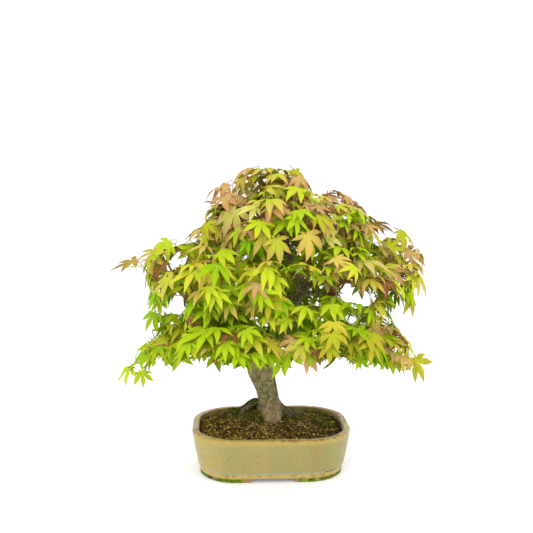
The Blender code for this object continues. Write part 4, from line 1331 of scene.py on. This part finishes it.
CLAW_OUT = 0.25
CLAW_DOWN = 0.3
CROWN_PULL = 12
INWARD_LIMIT = -0.75
STEM_SHARE = 0.6
STEM_RUN_ON = 3 * MM
STEM_THINNER = 0.85
STEM_BOW = 0.3
TWIG_RADIUS = 1.2 * MM
TWIG_THINNER = 0.92  # a twig's radius at most, as a share of its mother's
TWIG_TAPER = 0.62
TWIG_INWARD = -0.7
TWIG_REACH = (0.82, 1.08)
TWIG_ORDERS = [  # twigs tried, reach as a share of the mass, radius, shortest and longest in mm
    (9, 0.66, 1.15, 12, 90),
    (22, 0.84, 0.75, 8, 42),
    (26, 0.95, 0.5, 6, 26),
]
FORK_SHARES = (0.3, 0.45, 0.6, 0.75, 0.88, 1.0)
FORK_COST = 0.5
FORK_USES = 3
BARE_TWIGS = 0.7


class Space:
    """The room one mass keeps to: its ellipsoid, cut by the planes it shares with the others."""

    def __init__(self, name, centre, half, wanted):
        self.name = name
        self.centre = np.array(centre) * MM
        self.half = np.array(half) * MM
        self.wanted = wanted
        self.walls = []

    def meet(self, other):
        own = (self.half.sum() / 3) ** 2
        its = (other.half.sum() / 3) ** 2
        way = other.centre - self.centre
        length = np.linalg.norm(way)
        along = (length * length + own - its) / (2 * length)
        self.walls.append((self.centre + way * (along / length), way / length))

    def holds(self, points, room):
        off = (points - self.centre) / self.half
        if ((off * off).sum(1) > OVERFILL * OVERFILL).any():
            return False
        if (points < CROWN_LOW).any() or (points > CROWN_HIGH).any():
            return False
        return all(((points - spot) @ outward < -room).all() for spot, outward in self.walls)


def seen(points):
    """Where points show on the plane through the trunk, Y = 0, from the eye: x and z in mm."""
    eye = np.array(EYE)
    share = eye[1] / (eye[1] - points[:, 1])
    flat = eye[[0, 2]] + (points[:, [0, 2]] - eye[[0, 2]]) * share[:, None]
    return flat / MM


def edges_of(outline):
    """An outline's sides as starts and ends, level ones left out."""
    pairs = [(a, b) for a, b in zip(outline, outline[1:] + outline[:1]) if a[1] != b[1]]
    return np.array([a for a, _ in pairs], float), np.array([b for _, b in pairs], float)


OUTLINE_STARTS, OUTLINE_ENDS = edges_of(CROWN_OUTLINE)
OUTLINE_MIDDLE = np.array((5, 225))
GAP_LOWS = np.array([gap[:2] for gap in SKY_GAPS], float)
GAP_HIGHS = np.array([gap[2:] for gap in SKY_GAPS], float)
SHOW_LOWS = np.array([place[:2] for place in LIMBS_SHOW], float)
SHOW_HIGHS = np.array([place[2:] for place in LIMBS_SHOW], float)


def in_outline(flat):
    """Whether each flat point lies in the crown's outline, by the even-odd rule."""
    x, z = flat[:, :1], flat[:, 1:]
    (x0, z0), (x1, z1) = OUTLINE_STARTS.T, OUTLINE_ENDS.T
    crosses = ((z0 > z) != (z1 > z)) & (x < (x1 - x0) * (z - z0) / (z1 - z0) + x0)
    return crosses.sum(1) % 2 == 1


def leaves_sky(points, margin=0.0):
    """Whether a leaf stays inside the crown's outline, by a margin in mm, and out of its openings."""
    flat = seen(points)
    off = flat - OUTLINE_MIDDLE
    if not in_outline(flat + off * (margin / np.linalg.norm(off, axis=1))[:, None]).all():
        return False
    spot = flat[:, None, :]
    if ((spot > GAP_LOWS) & (spot < GAP_HIGHS)).all(2).any():
        return False
    near = spot[points[:, 1] < IN_FRONT]
    return not ((near > SHOW_LOWS) & (near < SHOW_HIGHS)).all(2).any()


def sphere_directions(count, rng):
    """Directions spread evenly over a sphere, in a shuffled order."""
    turn = math.pi * (3 - math.sqrt(5))
    offset = rng.uniform(0, 2 * math.pi)
    found = []
    for i in range(count):
        z = 1 - 2 * (i + 0.5) / count
        ring = math.sqrt(1 - z * z)
        found.append(np.array((math.cos(offset + turn * i) * ring, math.sin(offset + turn * i) * ring, z)))
    rng.shuffle(found)
    return found


def unit(vector):
    return vector / np.linalg.norm(vector)


UP = np.array((0, 0, 1.0))
FRONT = np.array((0, -1.0, 0))


def shaken(amount, rng):
    return np.array([rng.uniform(-amount, amount) for _ in range(3)])


TWIG_BOW = (0.03, 0.10)  # how far it bows, as a share of its length


class Twig:
    """A shoot from a fork to its tip, bowed upwards a little, with the places it can fork at."""

    def __init__(self, start, end, thick, thin, order, rng, bowed=1.0):
        self.order = order
        length = np.linalg.norm(end - start)
        way = unit(np.array((rng.gauss(0, 0.5), rng.gauss(0, 0.5), 1.0)))
        self.bow = way * length * rng.uniform(*TWIG_BOW) * bowed
        self.start, self.end = start, end
        self.thick, self.thin = thick, thin
        self.tint = None

    def at(self, share):
        return self.start + (self.end - self.start) * share + self.bow * (4 * share * (1 - share))

    def heading(self, share):
        return unit(self.end - self.start + self.bow * (4 - 8 * share))

    def radius(self, share):
        return self.thick + (self.thin - self.thick) * share


SHARPEST_BEND = 1.2  # 1 less the cosine of the bend


class Shoots:
    """The twigs of one mass and the forks on them."""

    def __init__(self):
        self.twigs = []
        self.mothers = []  # the fork that each twig grows from
        self.spots = np.zeros((0, 3))
        self.ways = np.zeros((0, 3))
        self.wide = np.zeros(0)
        self.owner = np.zeros(0, int)
        self.uses = np.zeros(0, int)
        self.leafed = np.zeros(0, bool)

    def add(self, twig, fork=None):
        steps = len(FORK_SHARES)
        self.spots = np.vstack([self.spots, [twig.at(s) for s in FORK_SHARES]])
        self.ways = np.vstack([self.ways, [twig.heading(s) for s in FORK_SHARES]])
        self.wide = np.append(self.wide, [twig.radius(s) for s in FORK_SHARES])
        self.owner = np.append(self.owner, [len(self.twigs)] * steps)
        self.uses = np.append(self.uses, [0] * steps)
        self.leafed = np.append(self.leafed, [False] * steps)
        self.twigs.append(twig)
        self.mothers.append(fork)

    def fork_towards(self, spot, shortest, longest):
        """The best fork for a shoot to spot: near it and with an easy bend, or None."""
        way = spot - self.spots
        length = np.linalg.norm(way, axis=1)
        bend = 1 - (way * self.ways).sum(1) / np.maximum(length, 1e-9)
        allowed = (length > shortest) & (length < longest) & (bend < SHARPEST_BEND) & (self.uses < FORK_USES)
        if not allowed.any():
            return None
        cost = np.where(allowed, length * (1 + FORK_COST * bend), np.inf)
        return int(cost.argmin())


def bearing(shoots, space):
    """The twigs that carry leaves, each with the share of its length that is needed for them, and
    the bare twigs deep in the mass."""
    needed = np.zeros(len(shoots.twigs))
    steps = len(FORK_SHARES)
    for fork in np.flatnonzero(shoots.leafed):
        while fork is not None:
            twig = shoots.owner[fork]
            needed[twig] = max(needed[twig], FORK_SHARES[fork % steps])
            fork = shoots.mothers[twig]
    for number, twig in enumerate(shoots.twigs):
        off = (twig.end - space.centre) / space.half
        if needed[number] == 0 and (off * off).sum() < BARE_TWIGS ** 2:
            needed[number] = 1
    return [(twig, share) for twig, share in zip(shoots.twigs, needed) if share > 0]


MIDDLE_REACH = 20 * MM  # a mass nearer the trunk than this has the top as its outer side


def level_of(vector):
    return np.array((vector[0], vector[1], 0))


def outward_side(space):
    level = level_of(space.centre)
    far = np.linalg.norm(level)
    return level / far if far > MIDDLE_REACH else UP


def grow_twigs(space, root, heading, thick, limb_tree, rng):
    """The stem of a mass and three orders of twigs, each forking off the ones before."""
    away = outward_side(space)
    shoots = Shoots()
    hub = root + (space.centre - root) * STEM_SHARE + heading * STEM_RUN_ON
    shoots.add(Twig(root, hub, thick, TWIG_RADIUS, 0, rng))
    shoots.twigs[0].bow *= STEM_BOW
    for order, (count, reach, radius, shortest, longest) in enumerate(TWIG_ORDERS, 1):
        directions = [d for d in sphere_directions(count * 2, rng) if d @ away > TWIG_INWARD][:count]
        for direction in [away, *directions]:
            target = space.centre + direction * space.half * reach * rng.uniform(*TWIG_REACH)
            fork = shoots.fork_towards(target, shortest * MM, longest * MM)
            if fork is None:
                continue
            start = shoots.spots[fork]
            wide = min(radius * MM, shoots.wide[fork] * TWIG_THINNER)
            twig = Twig(start, target, wide, min(radius * MM * TWIG_TAPER, wide), order, rng)
            path = np.array([twig.at(s) for s in (0.25, 0.5, 0.75, 1.0)])
            if not space.holds(path, 0) or not leaves_sky(path):
                continue
            run = target - start
            if limb_tree.ray_cast(Vector(start), Vector(run), float(np.linalg.norm(run)))[0]:
                continue
            shoots.uses[fork] += 1
            shoots.add(twig, fork)
    return shoots


def leaf_frame(down, face):
    """Axes of a leaf: its middle lobe's, its side's and its upper face's."""
    face = unit(face - down * (face @ down))
    return np.array((down, np.cross(face, down), face))


class Leaf:
    """A leaf where it hangs: its kind, its axes, its stalk's end and its size."""

    def __init__(self, kind, axes, spot, size):
        self.kind = kind
        self.axes = axes
        self.spot = spot
        self.size = size

    def shape(self, part):
        """The points of its sketch or of the whole leaf."""
        return self.kind[part] @ self.axes * (LEAF_LENGTH * self.size) + self.spot

    def grow(self, mass, shoots, fork, tint):
        """Ties it to the fork it hangs from."""
        shoots.uses[fork] += 1
        shoots.leafed[fork] = True
        self.mass = mass
        self.fork = shoots.spots[fork]
        self.way = shoots.ways[fork]
        self.tint = tint


# Groups of sprays that have turned: centre, reach, and the tints they are dealt, in mm.
TURNED = [
    ((-160, 0, 258), 52, ("bronze", "peach", "tanned", "blush", "dusty")),
    ((92, -10, 335), 42, ("rose", "bronze", "blush", "dusty", "tanned")),
    ((38, -70, 318), 22, ("salmon", "peach")),
    ((-52, -30, 345), 46, ("rose", "dusty", "tanned", "olive")),
    ((0, 0, 378), 50, ("olive", "tanned", "bronze", "blush")),
    ((-50, -60, 305), 26, ("rose", "dusty", "blush")),
    ((-82, -60, 262), 28, ("gold", "peach", "yellow")),
    ((136, -40, 172), 22, ("salmon", "rose")),
    ((45, -90, 134), 26, ("peach", "salmon", "tanned")),
    ((190, 0, 262), 34, ("bronze", "tanned", "rose", "blush")),
    ((20, -70, 300), 24, ("peach", "dusty", "blush")),
    ((150, -30, 300), 30, ("blush", "olive", "rose")),
    ((-40, 90, 300), 60, ("peach", "gold", "olive", "blush")),
    ((110, 80, 250), 46, ("salmon", "gold", "lime")),
    ((-90, 90, 180), 36, ("gold", "peach", "fresh")),
    ((-75, -30, 215), 52, ("vivid", "green", "fresh")),
    ((60, -30, 190), 40, ("vivid", "green", "fresh", "mixed")),
]
CROWN_MIDDLE = np.array((5, 0, 215)) * MM
CROWN_HALF = np.array((195, 140, 165)) * MM
# How often each tint is dealt: inside the crown, and outside it from below to the top.
INSIDE_TINTS = {"deep": 26, "green": 36, "vivid": 14, "fresh": 24}
LOW_TINTS = {
    "fresh": 23, "mixed": 18, "lime": 11, "green": 10, "vivid": 6, "yellow": 8, "blush": 6,
    "deep": 3, "olive": 6, "gold": 5, "tanned": 4,
}
MIDDLE_TINTS = {
    "fresh": 23, "vivid": 19, "green": 18, "mixed": 11, "lime": 9, "yellow": 4, "gold": 4,
    "olive": 6, "blush": 4, "peach": 2, "salmon": 1, "tanned": 2,
}
UPPER_TINTS = {
    "fresh": 14, "mixed": 13, "blush": 15, "olive": 11, "lime": 9, "yellow": 6, "green": 7,
    "vivid": 4, "dusty": 6, "tanned": 8, "gold": 3, "peach": 2, "rose": 2,
}
TOP_TINTS = {
    "blush": 14, "dusty": 8, "tanned": 12, "olive": 12, "rose": 14, "mixed": 12, "lime": 9,
    "bronze": 6, "fresh": 8, "salmon": 6, "pale": 2,
}


TURNED_CHANCE = (0.85, 0.45)  # of a group's tint at its centre, and how much less at its edge
INSIDE = 0.6  # the share of the crown's reach that counts as inside it
BANDS = [(305, TOP_TINTS), (250, UPPER_TINTS), (195, MIDDLE_TINTS), (0, LOW_TINTS)]  # from mm up


def deal_tint(spot, rng):
    """The tint of a spray by where it grows: deep green inside, fresh outside, turned in places."""
    for centre, reach, names in TURNED:
        near = np.linalg.norm(spot - np.array(centre) * MM) / (reach * MM)
        if near < 1 and rng.random() < TURNED_CHANCE[0] - TURNED_CHANCE[1] * near:
            return rng.choice(names)
    shares = next(tints for height, tints in BANDS if spot[2] > height * MM)
    if np.linalg.norm((spot - CROWN_MIDDLE) / CROWN_HALF) < INSIDE:
        shares = INSIDE_TINTS
    return rng.choices(list(shares), list(shares.values()))[0]


RED_STALKS = {
    "bronze", "rose", "salmon", "peach", "blush", "tanned", "dusty", "olive", "gold", "dried", "fresh",
}
DRIED_SHARE = 0.02
SAME_TINT = 0.7  # how many of a spray's leaves have the spray's own tint


OPEN_DROOP = (0.10, 0.42)
CLAW_DROOP = (0.45, 0.75)
SET_TILT = 4  # mm, how far the middle lobe of a set leaf comes forward
SET_SHORTEST = 4 * MM


class Crown:
    """All the leaves set so far, and the rule that sets the next."""

    def __init__(self, rng, limb_tree):
        self.open_kinds = [leaf_kind(rng, rng.uniform(*OPEN_DROOP)) for _ in range(LEAF_KINDS)]
        self.drooped_kinds = [leaf_kind(rng, rng.uniform(*CLAW_DROOP)) for _ in range(LEAF_KINDS)]
        self.limb_tree = limb_tree
        self.spots = np.zeros((0, 3))
        self.trees = []
        self.leaves = []

    def add(self, leaf, tree):
        self.spots = np.vstack([self.spots, leaf.spot])
        self.trees.append(tree)
        self.leaves.append(leaf)

    def sketch_tree(self, leaf):
        return BVHTree.FromPolygons(leaf.shape("sketch").tolist(), leaf.kind["sketch_faces"])

    def near(self, spot, reach):
        """The numbers of the leaves whose stalks end nearer than reach."""
        return np.flatnonzero(((self.spots - spot) ** 2).sum(1) < reach * reach)

    def try_leaf(self, space, shoots, spot, fork, pose, size, rng):
        """Set a leaf with its stalk's end at spot, if it is clear."""
        hang, face, kinds, margin = pose
        grows = unit(spot - shoots.spots[fork])
        down = unit(grows * STALK_PULL + hang)
        if grows @ down < STALK_EASE:
            return False
        leaf = Leaf(rng.choice(kinds), leaf_frame(down, face), spot, size)
        points = leaf.shape("sketch")
        if not space.holds(points, OVERLAP_ROOM) or not leaves_sky(points, margin):
            return False
        tree = self.sketch_tree(leaf)
        others = [self.limb_tree, *(self.trees[i] for i in self.near(spot, NEIGHBOUR))]
        if any(tree.overlap(other) for other in others):
            return False
        twig = shoots.twigs[shoots.owner[fork]]
        if twig.tint is None:
            twig.tint = deal_tint(twig.end, rng)
        tint = twig.tint if rng.random() < SAME_TINT else deal_tint(spot, rng)
        if rng.random() < DRIED_SHARE:
            tint = "dried"
        leaf.grow(space.name, shoots, fork, tint)
        self.add(leaf, tree)
        return True

    def set_marked(self, space, shoots, rng):
        """The leaves that are set one by one, each on a twig of its own."""
        behind, above = SET_TWIG
        for name, hub, tip, depth, turn, tint in SET_LEAVES:
            if name != space.name:
                continue
            spot = np.array((hub[0], depth, hub[1])) * MM
            lobe = np.array((tip[0], depth - SET_TILT, tip[1])) * MM - spot
            down = unit(lobe)
            end = spot - down * behind + UP * above
            fork = shoots.fork_towards(end, SET_SHORTEST, SET_REACH)
            if fork is None:
                continue
            shoots.uses[fork] += 1
            thick = min(TWIG_RADIUS, shoots.wide[fork])
            twig = Twig(shoots.spots[fork], end, thick, thick / 2, SET_ORDER, rng, SET_BOW)
            shoots.add(twig, fork)
            up = unit(np.cross(np.cross(down, UP + FRONT * 0.01), down))
            face = FRONT * math.cos(math.radians(turn)) + up * math.sin(math.radians(turn))
            size = np.linalg.norm(lobe) / LEAF_LENGTH
            leaf = Leaf(rng.choice(self.open_kinds), leaf_frame(down, face), spot, size)
            leaf.grow(space.name, shoots, len(shoots.spots) - 1, tint)
            self.add(leaf, self.sketch_tree(leaf))

    def poses(self, direction, space, rng):
        """Ways a leaf may hang: turned outwards, or level with its lobes arching over like claws."""
        outward = unit(unit(direction / space.half) + level_of(space.centre) * CROWN_PULL)
        level = level_of(outward)
        face = unit(outward * FACE_OUT + UP * FACE_UP + shaken(LEAF_SHAKE, rng))
        hang = level * HANG_OUT - UP * HANG_DOWN + shaken(LEAF_SHAKE, rng)
        claw_face = unit(UP + level * CLAW_OUT + shaken(LEAF_SHAKE, rng))
        claw_hang = level - UP * CLAW_DOWN + shaken(LEAF_SHAKE, rng)
        margin = RAGGED * max(0, rng.uniform(-1.5, 1))
        return [(hang, face, self.open_kinds, margin), (claw_hang, claw_face, self.drooped_kinds, margin)]

    def place(self, direction, space, shoots, rng):
        """Set a leaf in one direction from a mass's middle, as far out as it fits."""
        poses = self.poses(direction, space, rng)
        scale = rng.uniform(*LEAF_SCALE)
        for share in SPACE_STEPS:
            spot = space.centre + direction * space.half * share
            if len(self.near(spot, LEAF_SPACING)):
                continue
            fork = shoots.fork_towards(spot, STALK_SHORTEST, STALK_LONGEST)
            if fork is None:
                continue
            for size, pose in product(LEAF_SIZES, poses):
                if self.try_leaf(space, shoots, spot, fork, pose, size * scale, rng):
                    return True
        return False

    def fill(self, space, shoots, rng):
        """Set a mass's leaves over its outer side and inwards, each drawn in until it fits."""
        away = outward_side(space)
        missing = round(space.wanted * LEAF_PLENTY)
        for direction in sphere_directions(missing * LEAF_TRIES, rng):
            if missing == 0:
                break
            if direction @ away > INWARD_LIMIT and self.place(direction, space, shoots, rng):
                missing -= 1


def draw_leaf(heap, leaf):
    names = [f"leaf_{leaf.tint}_{zone}" for zone in leaf.kind["zones"]]
    heap.add(leaf.shape("points").tolist(), leaf.kind["faces"], names)


STALK_SIDES = 4
STALK_STEPS = 4
STALK_SHAPE = (1.25, 1.0, 0.9, 0.9, 1.1)  # its radii as shares of STALK_RADIUS


def draw_stalk(heap, leaf):
    """A leaf's stalk, leaving the twig at a slant and meeting the blade from behind."""
    fork, spot = leaf.fork, leaf.spot
    length = np.linalg.norm(spot - fork)
    bend = fork + leaf.way * length * 0.25 + UP * 0.10 * length
    late = spot - leaf.axes[0] * length * 0.28 + leaf.axes[2] * length * 0.02
    path = []
    for t in (step / STALK_STEPS for step in range(STALK_STEPS + 1)):
        curve = fork * (1 - t) ** 3 + bend * (3 * t * (1 - t) ** 2)
        path.append(Vector(curve + late * (3 * t * t * (1 - t)) + spot * t ** 3))
    look = "stalk_red" if leaf.tint in RED_STALKS else "stalk_green"
    heap.add(*tube(path, [STALK_RADIUS * share for share in STALK_SHAPE], STALK_SIDES), look)


def draw_twig(heap, twig, share):
    steps, sides = (6, 7) if twig.order < 2 else (4, 5)
    places = [share * i / steps for i in range(steps + 1)]
    heap.add(*tube([Vector(twig.at(p)) for p in places], [twig.radius(p) for p in places], sides), "twig")


GROUPS = ("low", "mid_front", "mid_back", "top")


def group_of(name):
    """The group of masses whose leaves are joined into one piece."""
    if name.startswith("low"):
        return "low"
    if name.startswith("mid_back"):
        return "mid_back"
    return "mid_front" if name.startswith("mid") else "top"


def make_crown(lines, limb_tree, looks):
    """The whole crown: leaves, stalks and twigs, joined each kind apart in four groups. Every mass
    has its twigs and its marked leaves before the first is filled."""
    crown = Crown(random.Random(SEED), limb_tree)
    spaces = [Space(limb[0], *limb[5:]) for limb in LIMBS] + [Space(*APEX)]
    for space, other in product(spaces, spaces):
        if other is not space:
            space.meet(other)
    ends = [(points[-1], (points[-1] - points[-2]).normalized(), radii[-1]) for points, radii in lines]
    last = len(TRUNK_LINE) - 1
    tip, radius = trunk_at(last)
    ends.append((tip, (tip - trunk_at(last - 0.1)[0]).normalized(), radius))
    grown = []
    for number, (space, (tip, heading, radius)) in enumerate(zip(spaces, ends)):
        rng = random.Random(SEED + number * 100)
        shoots = grow_twigs(space, np.array(tip), np.array(heading), radius * STEM_THINNER, limb_tree, rng)
        crown.set_marked(space, shoots, rng)
        grown.append((space, shoots, rng))
    for space, shoots, rng in grown:
        crown.fill(space, shoots, rng)
    for group in GROUPS:
        blades = Heap([f"leaf_{tint}_{zone}" for tint, zone in product(TINTS, ZONES)])
        stalks = Heap([*STALKS, "twig"])
        for leaf in crown.leaves:
            if group_of(leaf.mass) == group:
                draw_leaf(blades, leaf)
                draw_stalk(stalks, leaf)
        members = [(space, shoots) for space, shoots, _ in grown if group_of(space.name) == group]
        for space, shoots in members:
            for twig, share in bearing(shoots, space):
                draw_twig(stalks, twig, share)
        nodes = ["leaves_" + space.name for space, _ in members]
        piece(blades.object("leaf_sprays_" + group, looks), nodes)
        piece(stalks.object("twigs_" + group, looks), nodes)


# ---------------------------------------------------------------- setting


def make_setting():
    """A pale floor, even white surroundings, soft lamps and the camera."""
    rim = disc_rim(Vector(), Vector((1, 0, 0)), Vector((0, 1, 0)), FLOOR_RADIUS, FLOOR_SIDES)
    heap = Heap(["floor_white"])
    heap.add(rim, [range(FLOOR_SIDES)], "floor_white")
    white = plain("floor_white", FLOOR_COLOUR, 0.9, 0.1)
    glow = white.node_tree.nodes["Principled BSDF"].inputs
    glow["Emission Color"].default_value = FLOOR_GLOW_COLOUR
    glow["Emission Strength"].default_value = FLOOR_GLOW
    heap.object("floor", {"floor_white": white})

    world = bpy.data.worlds.new("surroundings")
    world.use_nodes = True
    nodes, links = world.node_tree.nodes, world.node_tree.links
    seen_white, lighting = nodes["Background"], nodes.new("ShaderNodeBackground")
    for background, strength in ((seen_white, SEEN_WHITE), (lighting, SURROUND_LIGHT)):
        background.inputs["Color"].default_value = (1, 1, 1, 1)
        background.inputs["Strength"].default_value = strength
    path = nodes.new("ShaderNodeLightPath")
    choose = nodes.new("ShaderNodeMixShader")
    links.new(path.outputs["Is Camera Ray"], choose.inputs[0])
    links.new(lighting.outputs[0], choose.inputs[1])
    links.new(seen_white.outputs[0], choose.inputs[2])
    links.new(choose.outputs[0], nodes["World Output"].inputs["Surface"])
    bpy.context.scene.world = world

    for name, place, size, power in LAMPS:
        light = bpy.data.lights.new(name, "AREA")
        light.size = size
        light.energy = power
        lamp = bpy.data.objects.new(name, light)
        lamp.location = place
        lamp.rotation_euler = (LAMP_AIM - Vector(place)).to_track_quat("-Z", "Y").to_euler()
        bpy.context.scene.collection.objects.link(lamp)

    lens = bpy.data.cameras.new("camera")
    lens.lens = LENS
    lens.sensor_width = SENSOR
    lens.clip_start = 0.01
    camera = bpy.data.objects.new("camera", lens)
    camera.location = EYE
    camera.rotation_euler = (math.radians(CAMERA_TILT), 0, math.radians(CAMERA_TURN))
    bpy.context.scene.collection.objects.link(camera)
    bpy.context.scene.camera = camera
    bpy.context.scene.view_settings.view_transform = "Standard"


def tree_of(objects):
    points, faces = [], []
    for thing in objects:
        start = len(points)
        points += [v.co.copy() for v in thing.data.vertices]
        faces += [[start + i for i in face.vertices] for face in thing.data.polygons]
    return BVHTree.FromPolygons(points, faces)


def main():
    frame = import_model()
    looks = leaf_looks()
    looks["glaze"] = glaze_look()
    looks["glaze_inside"] = inside_look()
    looks["bare_clay"] = under_look()
    looks["foot"] = foot_look()
    looks["soil"] = soil_look()
    looks["bark"] = bark_look()
    looks["rootlet"] = plain("rootlet", ROOTLET_COLOUR, 0.8, 0.2)
    looks.update({name: moss_look(name, colour) for name, colour in MOSS_COLOURS.items()})
    looks.update({name: plain(name, colour, 0.9, 0.2) for name, colour in GRIT_COLOURS.items()})

    make_setting()
    make_pot(looks)
    make_feet(looks)
    make_soil(looks)
    make_grains(looks)
    make_moss(looks)
    make_rootlets(looks)
    make_trunk(looks)
    make_surface_roots(looks)
    rng = random.Random(BOUGH_SEED)
    trunk_tree = tree_of([frame["nodes"]["trunk"]])
    lines = [bough_line(limb, trunk_tree, rng) for limb in LIMBS]
    make_boughs(lines, looks)
    limbs = [node for name, node in frame["nodes"].items() if name.startswith(("bough", "trunk"))]
    make_crown(lines, tree_of(limbs), looks)


main()
